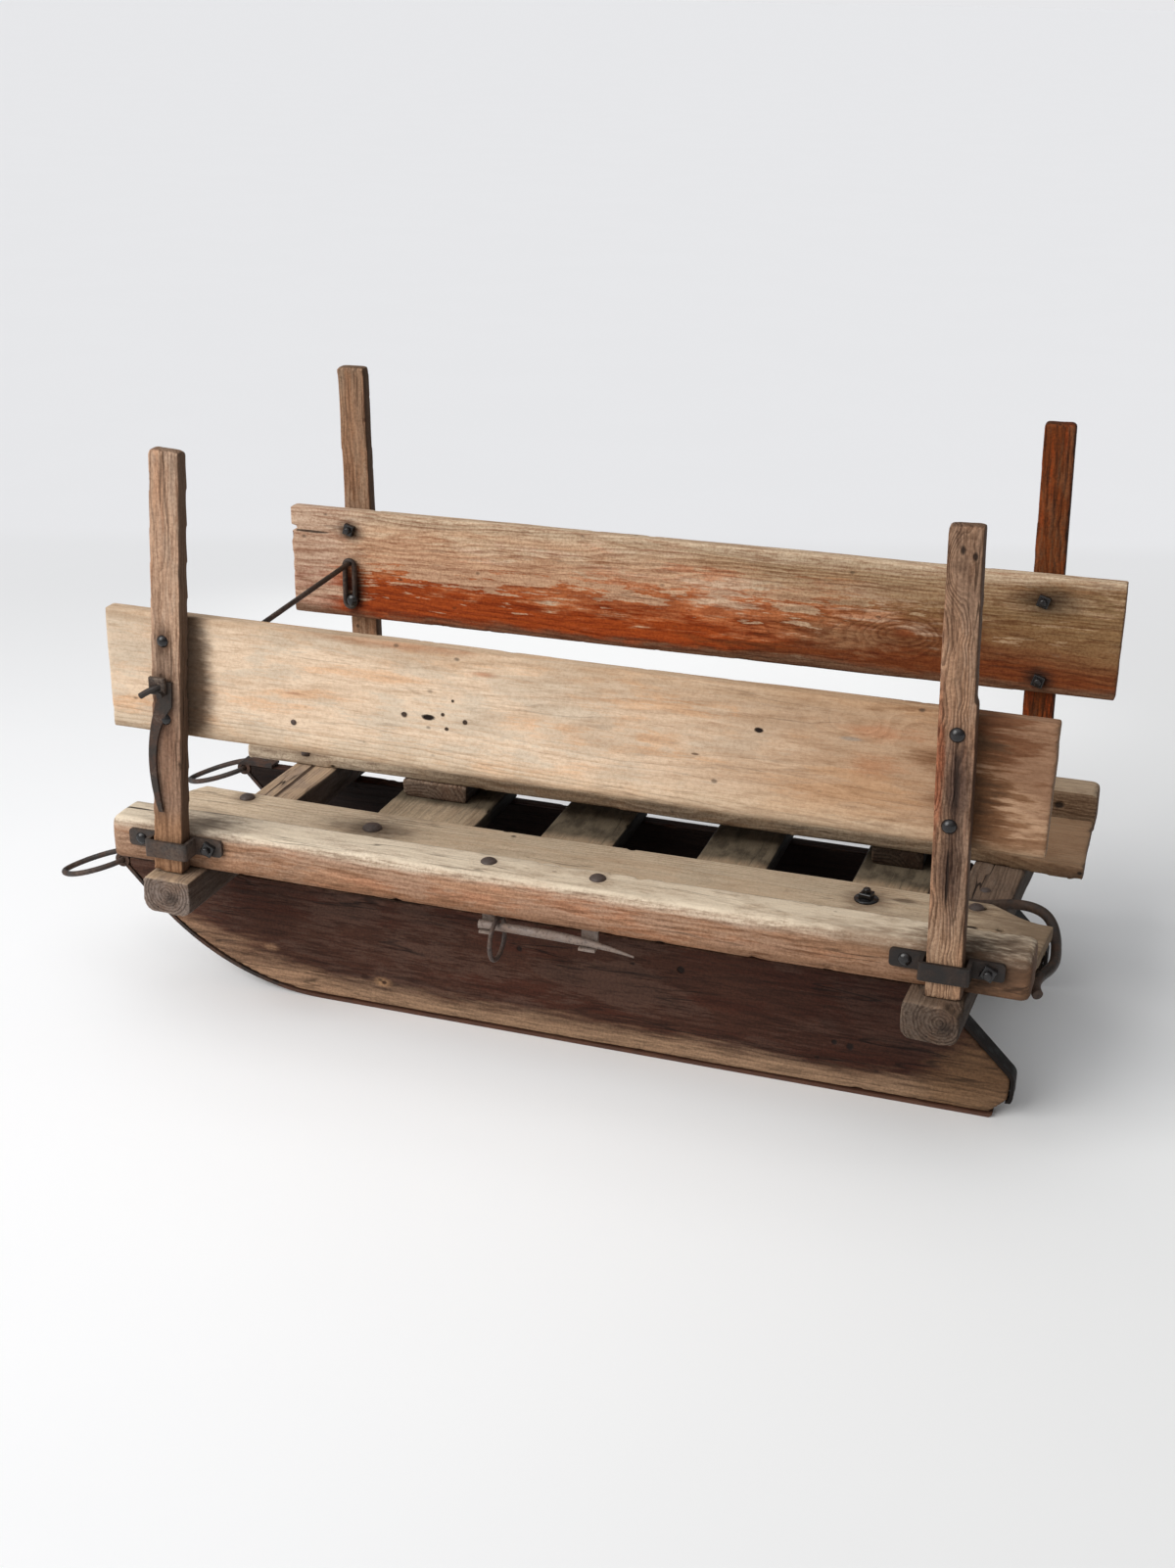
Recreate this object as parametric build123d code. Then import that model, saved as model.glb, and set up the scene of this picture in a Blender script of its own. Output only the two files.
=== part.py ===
from build123d import *
from math import cos, radians, sin, tan
import os

# Low wooden dog sled with two staked side boards.
# Millimetres, +X forward (runner tips), +Y to the sled's left, +Z up.
# X is measured from the middle of the left rail while the pieces are made;
# at the end the whole sled is moved so that the middle of its box is at X = 0.
# A pair of values in brackets is (left, right) unless its line says otherwise.

# Rails on top: an outer beam and an inner plank on each side
RAIL_L = 1000
RIGHT_RAIL_LONGER = 15
RIGHT_RAIL_BACK = 14
RAIL_OUT_Y = 243
BEAM_W = 50
BEAM_H = 48
BEAM_EDGE_R = 8
BEAM_UNDER_R = 2
BEAM_END_R = 9
PLANK_T = 17
PLANK_IN_Y = (62, 70)
PLANK_WAVE = 3
PLANK_FLARE = 15
PLANK_CORNER = 20
PLANK_WORN_L = 60
PLANK_WORN_W = 36
PLANK_HOLE_D = 8

# Runners: planks on edge, shod with flat iron
RUNNER_T = 22
RUNNER_TOP = 140
RUNNER_OUT_Y = 161
RUNNER_BEND_IN = 210
RUNNER_BEND_R = 290
RUNNER_BEND_DEG = 46
RUNNER_TAIL_IN = 16
RUNNER_TAIL_Z = 48
TAIL_BLUNT = 24
TAIL_RELIEF = 20
TAIL_R = 9
IRON_T = 4
SEAT = 0.3
SHOE_FOLD = 42
SHOE_STOP = 15
STRAP_SHORT = 6
EYE_R = 8.8

# Cross members lying on the runners; the skew sets the right ends further back
BOLSTER_W = 59
BOLSTER_END_Y = 279
BOLSTER_FRONT_IN = 92
BOLSTER_REAR_IN = 73
BOLSTER_FRONT_SKEW = 1.4
BOLSTER_REAR_SKEW = 3.4
BOLSTER_UNDER_R = 13
BOLSTER_EDGE_R = 5
CRACK_W = 4
CRACK_L = 230
CRACK_DEEP = 14
CHIP_W = 13
CHIP_H = 9
SLAT_T = 20
SLAT_EDGE = 1.5
SLAT_W = (127, 91, 85, 88)
SLAT_GAP = (79.5, 79, 97, 95, 34.5)
RISER_T = 22
RISER_L = (85, 60)
RISER_BACK = (9, 11)
RISER_IN = 2
RISER_OUT = 4

# Stakes and side boards
STAKE_W = 36
STAKE_T = 19
STAKE_BEVEL = 3.5
STAKE_TOP = (650, 640)
STAKE_FRONT_OFF = (5.6, 8.4)
STAKE_REAR_OFF = (-7.6, -0.4)
LEAN_FRONT = (-3.6, 1.5)
LEAN_REAR = (1.9, 1.4)
STEP_Z = 485
STEP_DEEP = 2.5
BOARD_T = 20
BOARD_EDGE_R = 2.5
BOARD_H = (134, 139)
BOARD_Z = (336, 329)
BOARD_PAST_FRONT = (-15.5, 7.5)
BOARD_PAST_REAR = (0.5, 3.5)
BOARD_TILT = (0.15, -0.38)
SPLIT_L = 58
SPLIT_W = 6
SPLIT_UP = 110
END_CRACK_L = 64
END_CRACK_W = 2.4
END_CRACK_UP = 56
GUIDE = 1.5

# Staples that hold the stakes
STAPLE_H = 19
STAPLE_SIDE = 3
STAPLE_EAR = 31
STAPLE_RISE = 20
EAR_R = 4

# Pull rings and rear pull rod
RING_D = 6.5
RING_L = 96
RING_W = 60
RING_PLAY = 1
RING_DROOP = 20
REAR_ROD_D = 11
REAR_ROD_L = 93
REAR_ROD_BOW = 12
REAR_ROD_PAST = 9

# Tie rod between the front stakes, and the key that holds it
ROD_D = 6.5
LOOP_R = 6.5
LOOP_L = 60
LOOP_UP = 13
TIE_FALL = 6
STUB_L = 14
KEY_T = 3
KEY_TOP = 12
KEY_L = 137
KEY_W = 9
KEY_BULGE = 24

# Iron spike carried under the left beam, with its ring and two brackets
SPIKE_AHEAD = 62
SPIKE_NOSE = 8
SPIKE_L = 170
SPIKE_D = 10
SPIKE_IN = 10
SPIKE_DOWN = 15
SPIKE_SAG = 10
SPIKE_RING_D = 50
SPIKE_RING_T = 5
SPIKE_RING_BACK = 12
BRACKET_T = 3
BRACKET_W = (14, 18)
BRACKET_APART = 112
BRACKET_FLANGE = 34

# Heights and places worked out from the sizes above
rail_front, rail_rear = RAIL_L / 2, -RAIL_L / 2
runner_in_y = RUNNER_OUT_Y - RUNNER_T
runner_mid_y = RUNNER_OUT_Y - RUNNER_T / 2
slat_top = RUNNER_TOP + SLAT_T
rail_z = slat_top + RISER_T
plank_top = rail_z + PLANK_T
beam_top = rail_z + BEAM_H
beam_in_y = RAIL_OUT_Y - BEAM_W
stake_in_y = RAIL_OUT_Y + GUIDE
stake_out_y = stake_in_y + STAKE_T
board_in_y = stake_in_y - BOARD_T
WIDE = 2 * BOLSTER_END_Y
LEFT, RIGHT = 1, -1
SIDES = ((0, LEFT, "left"), (1, RIGHT, "right"))
parts = {}


def block(x0, x1, y0, y1, z0, z1):
    """A box between two corners."""
    return Pos((x0 + x1) / 2, (y0 + y1) / 2, (z0 + z1) / 2) * Box(abs(x1 - x0), abs(y1 - y0), abs(z1 - z0))


def on_side(shape, side):
    """The left-hand shape, or its mirror image for the right."""
    return shape if side == LEFT else mirror(shape, Plane.XZ)


def plate_y(outline, y0, y1):
    """An outline drawn in X and Z made into a plate between two Y values."""
    return Pos(0, y0, 0) * extrude(Plane.XZ * make_face(outline), amount=-(y1 - y0))


def round_along(shape, axis, radius, keep):
    """Round the long edges along an axis that a test picks."""
    picked = [e for e in shape.edges().filter_by(axis) if keep(e.center())]
    return fillet(picked, radius)


def rod(path, d):
    """A round rod swept along a wire."""
    start = Plane(origin=path @ 0, z_dir=path % 0)
    return sweep(start * Circle(d / 2), path=path)


def crack(length, width, depth):
    """A slit along X that runs out to nothing at both ends, cut down from Z = 0."""
    a, b = (-length / 2, 0), (length / 2, 0)
    lens = Curve() + [Spline([a, (-length / 6, width * 0.7), (length / 5, width * 0.3), b]),
                      Spline([b, (length / 5, -width * 0.5), (-length / 6, -width * 0.2), a])]
    return extrude(make_face(lens), amount=-depth)


# Runners, with the shoe and the tail strap taken from the same outline
bend_x = rail_front - RUNNER_BEND_IN
tail_x = rail_rear + RUNNER_TAIL_IN
inner_r = RUNNER_BEND_R - IRON_T - SEAT
bend = radians(RUNNER_BEND_DEG)
sole_z = RUNNER_BEND_R - inner_r
bend_mid = (bend_x + inner_r * sin(bend / 2), RUNNER_BEND_R - inner_r * cos(bend / 2))
bend_end = (bend_x + inner_r * sin(bend), RUNNER_BEND_R - inner_r * cos(bend))
tip_x = bend_end[0] + (RUNNER_TOP - bend_end[1]) / tan(bend)
tail_top_x = tail_x + RUNNER_TOP - RUNNER_TAIL_Z
tail_low_z = RUNNER_TAIL_Z - TAIL_BLUNT
eye_x, eye_z = tip_x - 2, RUNNER_TOP + IRON_T + SEAT - EYE_R
nose_x = eye_x - EYE_R - SEAT

runner_edges = Curve() + [
    Line((tail_top_x, RUNNER_TOP), (tail_x, RUNNER_TAIL_Z)),
    Line((tail_x, RUNNER_TAIL_Z), (tail_x, tail_low_z)),
    Line((tail_x, tail_low_z), (tail_x + TAIL_RELIEF, sole_z)),
    Line((tail_x + TAIL_RELIEF, sole_z), (bend_x, sole_z)),
    ThreePointArc((bend_x, sole_z), bend_mid, bend_end),
    Line(bend_end, (tip_x, RUNNER_TOP)),
    Line((tip_x, RUNNER_TOP), (tail_top_x, RUNNER_TOP)),
]
runner_face = make_face(runner_edges)
tail_corners = [v for v in runner_face.vertices() if v.X < tail_x + 1]
runner_face = fillet(tail_corners, TAIL_R)
shell_face = offset(runner_face, IRON_T + SEAT) - offset(runner_face, SEAT)

wood = Pos(0, runner_in_y, 0) * extrude(Plane.XZ * runner_face, amount=-RUNNER_T)
wood -= block(nose_x, tip_x + RUNNER_TOP, 0, WIDE, 0, 2 * RUNNER_TOP)
iron = Pos(0, runner_in_y, 0) * extrude(Plane.XZ * shell_face, amount=-RUNNER_T)
shoe = iron & (block(tail_x + SHOE_STOP, tip_x + SHOE_FOLD, 0, WIDE, -1, sole_z)
               + block(bend_x - 5, tip_x + SHOE_FOLD, 0, WIDE, -1, RUNNER_TOP)
               + block(tip_x - SHOE_FOLD, tip_x + SHOE_FOLD, 0, WIDE, RUNNER_TOP / 2, 2 * RUNNER_TOP))
eye = Pos(eye_x, runner_mid_y, eye_z) * Rot(90, 0, 0) * Cylinder(EYE_R, RUNNER_T)
eye_hole = Pos(eye_x, runner_mid_y, eye_z) * Rot(90, 0, 0) * Cylinder(RING_D / 2 + RING_PLAY, 2 * RUNNER_T)
shoe = shoe + eye - eye_hole
strap = iron & block(tail_x - IRON_T - 1, tail_top_x - STRAP_SHORT, 0, WIDE,
                     tail_low_z - IRON_T, RUNNER_TOP - 2)
for k, side, tag in SIDES:
    parts["runner_" + tag] = on_side(wood, side)
    parts["shoe_" + tag] = on_side(shoe, side)
    parts["tail_strap_" + tag] = on_side(strap, side)

# Bolsters, beams rounded underneath whose ends carry the stakes
bolster_at = {"front": (rail_front - BOLSTER_FRONT_IN, BOLSTER_FRONT_SKEW),
              "rear": (rail_rear + BOLSTER_REAR_IN, BOLSTER_REAR_SKEW)}
beam = block(-BOLSTER_W / 2, BOLSTER_W / 2, -BOLSTER_END_Y, BOLSTER_END_Y, RUNNER_TOP, rail_z)
beam = round_along(beam, Axis.Y, BOLSTER_UNDER_R, lambda c: c.Z < RUNNER_TOP + 1)
beam = round_along(beam, Axis.Y, BOLSTER_EDGE_R, lambda c: c.Z > rail_z - 1)
split = Pos(0, 0, rail_z) * Rot(0, 0, 91) * crack(CRACK_L, CRACK_W, CRACK_DEEP)
chip = (Pos(-BOLSTER_W / 2, BOLSTER_END_Y, rail_z) * Rot(8, -28, 12)
        * Box(2 * CHIP_W, 3 * CHIP_W, 2 * CHIP_H))
for end, flaw in (("front", split), ("rear", chip)):
    x, skew = bolster_at[end]
    parts["bolster_" + end] = Pos(x, 0, 0) * Rot(0, 0, -skew) * (beam - flaw)

# Deck slats on the runner tops between the bolsters, and riser blocks under the planks
ahead = bolster_at["front"][0] - BOLSTER_W / 2
behind = bolster_at["rear"][0] + BOLSTER_W / 2
room = (ahead - behind - sum(SLAT_W)) / sum(SLAT_GAP)
slat_front = []
for i, (gap, w) in enumerate(zip(SLAT_GAP, SLAT_W)):
    x = ahead - gap * room
    slat = block(x - w, x, -RUNNER_OUT_Y, RUNNER_OUT_Y, RUNNER_TOP, slat_top)
    parts["slat_%d" % (i + 1)] = chamfer(slat.edges().filter_by(Axis.Y), SLAT_EDGE)
    slat_front.append(x)
    ahead = x - w
for end, x, l, back in (("front", slat_front[0], RISER_L[0], RISER_BACK[0]),
                        ("rear", slat_front[-1], RISER_L[1], RISER_BACK[1])):
    for k, side, tag in SIDES:
        riser = block(x - back - l, x - back, PLANK_IN_Y[k] + RISER_IN, RUNNER_OUT_Y - RISER_OUT,
                      slat_top, rail_z)
        parts["riser_%s_%s" % (end, tag)] = on_side(riser, side)

# Rails; the left plank's inner rear corner is worn away in a curve, the right one flares
for k, side, tag in SIDES:
    x0 = rail_rear - k * (RIGHT_RAIL_BACK + RIGHT_RAIL_LONGER / 2)
    x1 = rail_front - k * (RIGHT_RAIL_BACK - RIGHT_RAIL_LONGER / 2)
    bar = block(x0, x1, beam_in_y, RAIL_OUT_Y, rail_z, beam_top)
    bar = round_along(bar, Axis.Z, BEAM_END_R, lambda c: c.Y > beam_in_y + 1)
    top_edges = [e for e in bar.faces().sort_by(Axis.Z)[-1].edges() if e.center().Y > beam_in_y + 1]
    bar = fillet(top_edges, BEAM_EDGE_R)
    low_edges = [e for e in bar.faces().sort_by(Axis.Z)[0].edges() if e.center().Y > RAIL_OUT_Y - 1]
    bar = fillet(low_edges, BEAM_UNDER_R)
    parts["beam_" + tag] = on_side(bar, side)

    y = PLANK_IN_Y[k]
    front = [(x1 - 6, beam_in_y), (x1 - 6, y + PLANK_CORNER), (x1 - PLANK_CORNER, y)]
    if side == LEFT:
        wave = Spline([front[2], (x1 - 0.22 * RAIL_L, y + PLANK_WAVE), (0, y), (x0 + PLANK_WORN_L, y + 4)])
        tail = Spline([(x0 + PLANK_WORN_L, y + 4), (x0 + PLANK_WORN_L * 0.6, y + PLANK_WORN_W * 0.6),
                       (x0 + PLANK_WORN_L * 0.3, y + PLANK_WORN_W * 0.88), (x0 - 6, y + PLANK_WORN_W)])
        end = (x0 - 6, y + PLANK_WORN_W)
    else:
        front = [(x1 + 4, beam_in_y), (x1 + 4, y + 3), (x1 + 1, y)]
        wave = Spline([front[2], (x1 - 0.3 * RAIL_L, y + PLANK_WAVE), (0, y), (x0 + 0.12 * RAIL_L, y)])
        tail = Spline([(x0 + 0.12 * RAIL_L, y), (x0 + PLANK_WORN_L, y - PLANK_FLARE / 2),
                       (x0, y - PLANK_FLARE)])
        end = (x0, y - PLANK_FLARE)
    edges = Curve() + [Line(front[0], front[1]), Line(front[1], front[2]), wave, tail,
                       Line(end, (x0 + 2, beam_in_y)), Line((x0 + 2, beam_in_y), front[0])]
    plank = Pos(0, 0, rail_z) * extrude(make_face(edges), amount=PLANK_T)
    if side == LEFT:
        for back, into in ((PLANK_WORN_L + 8, 18), (PLANK_WORN_L * 0.75, 62)):
            plank -= Pos(x0 + back, y + into, plank_top) * Cylinder(PLANK_HOLE_D / 2, 3 * PLANK_T)
    parts["plank_" + tag] = on_side(plank, side)


# Stakes, leaning a little, with a bevelled top
def stake(x, lean, top):
    bar = block(-STAKE_W / 2, STAKE_W / 2, stake_in_y, stake_out_y, 0, top - rail_z)
    bar = chamfer(bar.faces().sort_by(Axis.Z)[-1].edges(), STAKE_BEVEL)
    bar = Pos(x, 0, rail_z) * Rot(0, lean, 0) * bar
    return bar - block(x - STAKE_W, x + STAKE_W, 0, WIDE, rail_z - STAKE_W, rail_z + SEAT)


stake_at = {}
for end, offs, leans in (("front", STAKE_FRONT_OFF, LEAN_FRONT), ("rear", STAKE_REAR_OFF, LEAN_REAR)):
    for k, side, tag in SIDES:
        mid, skew = bolster_at[end]
        x = mid + side * (stake_in_y + STAKE_T / 2) * tan(radians(skew)) + offs[k]
        stake_at[end, tag] = (x, leans[k])
        parts["stake_%s_%s" % (end, tag)] = on_side(stake(x, leans[k], STAKE_TOP[k]), side)


def stake_line(end, tag, z):
    """X of a stake's middle at a height."""
    x, lean = stake_at[end, tag]
    return x + tan(radians(lean)) * (z - rail_z)


# The left rear stake is worn back along its rear edge above a small step
worn_x = stake_line("rear", "left", STEP_Z) - STAKE_W / 2 + STEP_DEEP
worn = block(-STAKE_W, 0, 0, WIDE, 0, STAKE_TOP[0])
parts["stake_rear_left"] -= Pos(worn_x, 0, STEP_Z) * Rot(0, stake_at["rear", "left"][1], 0) * worn

# Side boards against the inner faces of the stakes, one split from its front end, one from its rear
for k, side, tag in SIDES:
    x0 = rail_rear - k * (RIGHT_RAIL_BACK + RIGHT_RAIL_LONGER / 2) - BOARD_PAST_REAR[k]
    x1 = rail_front - k * (RIGHT_RAIL_BACK - RIGHT_RAIL_LONGER / 2) + BOARD_PAST_FRONT[k]
    h = BOARD_H[k]
    board = block(x0, x1, board_in_y, stake_in_y, -h / 2, h / 2)
    board = fillet(board.edges().filter_by(Axis.X), BOARD_EDGE_R)
    if side == LEFT:
        flaw = Pos(x0, stake_in_y, END_CRACK_UP - h / 2) * Rot(-90, 0, 0)
        board -= flaw * crack(2 * END_CRACK_L, END_CRACK_W, -2 * BOARD_T) + flaw * crack(
            2 * END_CRACK_L, END_CRACK_W, 2 * BOARD_T)
    else:
        z = SPLIT_UP - h / 2
        wedge = Curve() + [Line((x1 + 1, z - SPLIT_W / 2), (x1 + 1, z + SPLIT_W / 2)),
                           Spline([(x1 + 1, z + SPLIT_W / 2), (x1 - SPLIT_L * 0.5, z + SPLIT_W * 0.4),
                                   (x1 - SPLIT_L, z)]),
                           Spline([(x1 - SPLIT_L, z), (x1 - SPLIT_L * 0.5, z - SPLIT_W * 0.3),
                                   (x1 + 1, z - SPLIT_W / 2)])]
        board -= plate_y(wedge, board_in_y - 1, stake_in_y + 1)
    mid = (x0 + x1) / 2
    board = Pos(mid, 0, BOARD_Z[k] + h / 2) * Rot(0, -BOARD_TILT[k], 0) * Pos(-mid, 0, 0) * board
    parts["side_board_" + tag] = on_side(board, side)


# Staples: flat iron bent round the stake with an ear each side
def staple(x):
    half = STAKE_W / 2 + STAPLE_SIDE
    z0 = rail_z + STAPLE_RISE
    z1 = z0 + STAPLE_H
    out = stake_out_y + GUIDE
    reach = half + IRON_T + STAPLE_EAR
    u = block(x - half - IRON_T, x + half + IRON_T, RAIL_OUT_Y, out + IRON_T, z0, z1)
    u = round_along(u, Axis.Z, IRON_T, lambda c: c.Y > out)
    u -= block(x - half, x + half, RAIL_OUT_Y - 1, out, z0 - 1, z1 + 1)
    ears = block(x - reach, x + reach, RAIL_OUT_Y, RAIL_OUT_Y + IRON_T, z0, z1)
    ears = round_along(ears, Axis.Y, EAR_R, lambda c: True)
    return u + ears - block(x - half, x + half, RAIL_OUT_Y - 1, out, z0 - 1, z1 + 1)


for (end, tag), (x, lean) in stake_at.items():
    mid = stake_line(end, tag, rail_z + STAPLE_RISE + STAPLE_H / 2)
    parts["staple_%s_%s" % (end, tag)] = on_side(staple(mid), LEFT if tag == "left" else RIGHT)

# Pull rings hung in the eyes of the shoes
half_w = RING_W / 2
far = RING_L - RING_D
leg = RUNNER_T / 2 + 3 * RING_PLAY
ring_path = Wire(Spline([(0, 0), (0, leg / 2), (0, leg), (far * 0.1, half_w * 0.75),
                         (far * 0.4, half_w), (far * 0.85, half_w * 0.6), (far, 0),
                         (far * 0.85, -half_w * 0.6), (far * 0.4, -half_w), (far * 0.1, -half_w * 0.75),
                         (0, -leg), (0, -leg / 2)], periodic=True).edges())
ring = Pos(eye_x, runner_mid_y, eye_z) * Rot(0, RING_DROOP, 0) * rod(ring_path, RING_D)
parts["pull_ring_left"] = ring
parts["pull_ring_right"] = on_side(ring, RIGHT)

# Rear pull rod, from the rear bolster round the left plank's worn corner to its underside
r = REAR_ROD_D / 2
high, low = rail_z + r + SEAT, rail_z - r - SEAT
in_y = PLANK_IN_Y[0] - r - 7
end_x = rail_rear - REAR_ROD_PAST
rear_path = Wire([Spline([
    (end_x + REAR_ROD_L * 1.17, in_y + 2, high), (end_x + REAR_ROD_L * 0.75, in_y - 3, high),
    (end_x + REAR_ROD_L * 0.44, in_y - REAR_ROD_BOW, high), (end_x + REAR_ROD_L * 0.16, in_y + 4, high),
    (end_x + 2, in_y + 30, rail_z - 2), (end_x - 2, PLANK_IN_Y[0] + PLANK_WORN_W + 7, low),
    (end_x - 1, beam_in_y - 45, low - 1), (end_x + 9, beam_in_y - 15, low - 2),
    (end_x + 5, beam_in_y + 8, low - 5)])])
parts["rear_pull_rod"] = rod(rear_path, REAR_ROD_D)

# Tie rod: an eye on the right front stake's lower bolt, a straight shank through the left board and stake
r = ROD_D / 2
eye_y = -board_in_y + r + SEAT
low_z = BOARD_Z[1] + LOOP_UP
top_z = low_z + LOOP_L - r
eye_mid_x = stake_line("front", "right", low_z) + LOOP_R - 1
eye_path = Wire((Curve() + [
    Line((LOOP_R, LOOP_R), (LOOP_R, LOOP_L - LOOP_R)),
    ThreePointArc((LOOP_R, LOOP_L - LOOP_R), (0, LOOP_L), (-LOOP_R, LOOP_L - LOOP_R)),
    Line((-LOOP_R, LOOP_L - LOOP_R), (-LOOP_R, LOOP_R)),
    ThreePointArc((-LOOP_R, LOOP_R), (0, 0), (LOOP_R, LOOP_R))]).edges())
loop = Pos(eye_mid_x, eye_y, low_z) * Rot(90, 0, 0) * rod(eye_path, ROD_D)
shank_from = Vector(eye_mid_x, eye_y, top_z)
shank_to = Vector(stake_line("front", "left", top_z), stake_out_y + STUB_L, top_z - TIE_FALL)
shank_plane = Plane(origin=shank_from, z_dir=shank_to - shank_from)
shank = shank_plane * extrude(Circle(r), amount=(shank_to - shank_from).length)
shank_hole = shank_plane * extrude(Circle(r + SEAT), amount=(shank_to - shank_from).length)
parts["tie_rod"] = loop + shank
parts["side_board_left"] -= shank_hole
parts["stake_front_left"] -= shank_hole

# Key: a flat iron strip on the stub of the tie rod, its tail bowed forward down the stake
kx, kz = shank_to.X, shank_to.Z
k_low = kz - KEY_L
key_line = Curve() + [
    Line((kx - KEY_W, kz + KEY_TOP), (kx + KEY_W, kz + KEY_TOP)),
    Line((kx + KEY_W, kz + KEY_TOP), (kx + KEY_W, kz - KEY_TOP * 0.7)),
    Spline([(kx + KEY_W, kz - KEY_TOP * 0.7), (kx + KEY_BULGE - 2, kz - KEY_L * 0.4),
            (kx + KEY_BULGE, kz - KEY_L * 0.7), (kx + KEY_BULGE * 0.7, k_low)]),
    Line((kx + KEY_BULGE * 0.7, k_low), (kx + KEY_BULGE * 0.5, k_low)),
    Spline([(kx + KEY_BULGE * 0.5, k_low), (kx + KEY_BULGE * 0.67, kz - KEY_L * 0.7),
            (kx + KEY_BULGE * 0.54, kz - KEY_L * 0.42), (kx - KEY_W * 0.8, kz - KEY_TOP * 1.3)]),
    Line((kx - KEY_W * 0.8, kz - KEY_TOP * 1.3), (kx - KEY_W, kz + KEY_TOP)),
]
parts["tie_rod_key"] = plate_y(key_line, stake_out_y + SEAT, stake_out_y + SEAT + KEY_T) - shank_hole

# Spike under the left beam, tapering to a drooping point
spike_y = RAIL_OUT_Y - SPIKE_IN
spike_z = rail_z - SPIKE_DOWN
spike_x = SPIKE_AHEAD + SPIKE_NOSE
stations = ((0, 0, 1.0), (0.3, 0, 1.0), (0.6, 0.1, 0.95), (0.8, 0.4, 0.62), (1.0, 1.0, 0.2))
sections = [Pos(spike_x - SPIKE_L * t, spike_y, spike_z - SPIKE_SAG * sag) * Rot(0, -90, 0)
            * Circle(SPIKE_D / 2 * k) for t, sag, k in stations]
parts["spike"] = loft(sections)
ring_r = (SPIKE_RING_D - SPIKE_RING_T) / 2
ring_z = spike_z + SPIKE_D / 2 + SEAT - (ring_r - SPIKE_RING_T / 2)
parts["spike_ring"] = (Pos(SPIKE_AHEAD - SPIKE_RING_BACK, spike_y, ring_z) * Rot(0, 90, 0)
                       * Torus(ring_r, SPIKE_RING_T / 2))


def bracket(x, w, sag):
    """A strap under the spike with one leg up to a flange on the beam's underside."""
    hook = SPIKE_D / 2 + 2 * SEAT
    inner, low = spike_y - hook, spike_z - hook - sag
    leg = block(x - w / 2, x + w / 2, inner - BRACKET_T, inner, low - BRACKET_T, rail_z)
    foot = block(x - w / 2, x + w / 2, inner - BRACKET_T, spike_y + SPIKE_D / 2, low - BRACKET_T, low)
    flange = block(x - w / 2, x + w / 2, inner - BRACKET_FLANGE, inner, rail_z - BRACKET_T, rail_z)
    return leg + foot + flange


parts["spike_bracket_front"] = bracket(SPIKE_AHEAD, BRACKET_W[0], 0)
parts["spike_bracket_rear"] = bracket(SPIKE_AHEAD - BRACKET_APART, BRACKET_W[1], 1.5)

# Move the sled so that the middle of its box is over the origin
boxes = [shape.bounding_box() for shape in parts.values()]
x_mid = (min(b.min.X for b in boxes) + max(b.max.X for b in boxes)) / 2
y_mid = (min(b.min.Y for b in boxes) + max(b.max.Y for b in boxes)) / 2
shift = Pos(-x_mid, -y_mid, -min(b.min.Z for b in boxes))

os.makedirs("parts", exist_ok=True)
for name, shape in parts.items():
    export_step(shift * shape, "parts/%s.step" % name)
print("moved by", shift.position)
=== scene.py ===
import math

import bmesh
import bpy
from mathutils import Matrix, Vector


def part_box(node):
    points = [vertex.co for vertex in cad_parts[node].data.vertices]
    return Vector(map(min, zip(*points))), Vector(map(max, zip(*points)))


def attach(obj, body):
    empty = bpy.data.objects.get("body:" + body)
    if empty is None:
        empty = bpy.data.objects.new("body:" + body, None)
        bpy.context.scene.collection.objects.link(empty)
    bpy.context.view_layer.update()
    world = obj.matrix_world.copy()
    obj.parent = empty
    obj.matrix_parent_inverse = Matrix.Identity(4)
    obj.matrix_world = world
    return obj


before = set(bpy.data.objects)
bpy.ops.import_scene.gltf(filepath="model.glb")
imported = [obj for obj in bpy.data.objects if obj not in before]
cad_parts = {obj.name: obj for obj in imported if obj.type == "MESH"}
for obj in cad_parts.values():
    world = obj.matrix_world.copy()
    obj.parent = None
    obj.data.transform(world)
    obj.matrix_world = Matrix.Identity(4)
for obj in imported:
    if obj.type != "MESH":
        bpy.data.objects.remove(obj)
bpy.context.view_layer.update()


# Runners
# Two softwood planks set on edge. The upper part is stained dark brown, the last inch above the
# iron is worn pale by snow, and the front curve has lost its stain. Bolted and nailed under the deck.

home = sum(corner.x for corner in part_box("beam_left")) / 2    # the left rail's middle


def at(x, y, z):
    """A place on the sled: mm forward of the rail's middle, mm to the left, mm above the floor."""
    return Vector((x / 1000 + home, y / 1000, z / 1000))


def tone(red, green, blue):
    """A colour as seen, 0 to 255, as the linear colour that a shader takes."""
    def one(v):
        v /= 255
        return v / 12.92 if v <= .04045 else ((v + .055) / 1.055) ** 2.4
    return (one(red), one(green), one(blue), 1)


def feed(tree, socket, value):
    """Gives a socket its value: another node's output, or a plain number, place or colour."""
    if isinstance(value, bpy.types.NodeSocket):
        tree.links.new(value, socket)
    else:
        socket.default_value = value


def sums(tree, work, *values):
    """One sum on numbers, such as SUBTRACT or POWER."""
    node = tree.nodes.new("ShaderNodeMath")
    node.operation = work
    for socket, value in zip(node.inputs, values):
        feed(tree, socket, value)
    return node.outputs[0]


def plus(tree, first, second):
    return sums(tree, "ADD", first, second)


def times(tree, first, second):
    return sums(tree, "MULTIPLY", first, second)


def vectors(tree, work, *values):
    """One sum on places or directions. LENGTH and DOT_PRODUCT give a number."""
    node = tree.nodes.new("ShaderNodeVectorMath")
    node.operation = work
    for socket, value in zip(node.inputs, values):
        feed(tree, socket, value)
    return node.outputs["Value" if work in ("LENGTH", "DOT_PRODUCT") else "Vector"]


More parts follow.
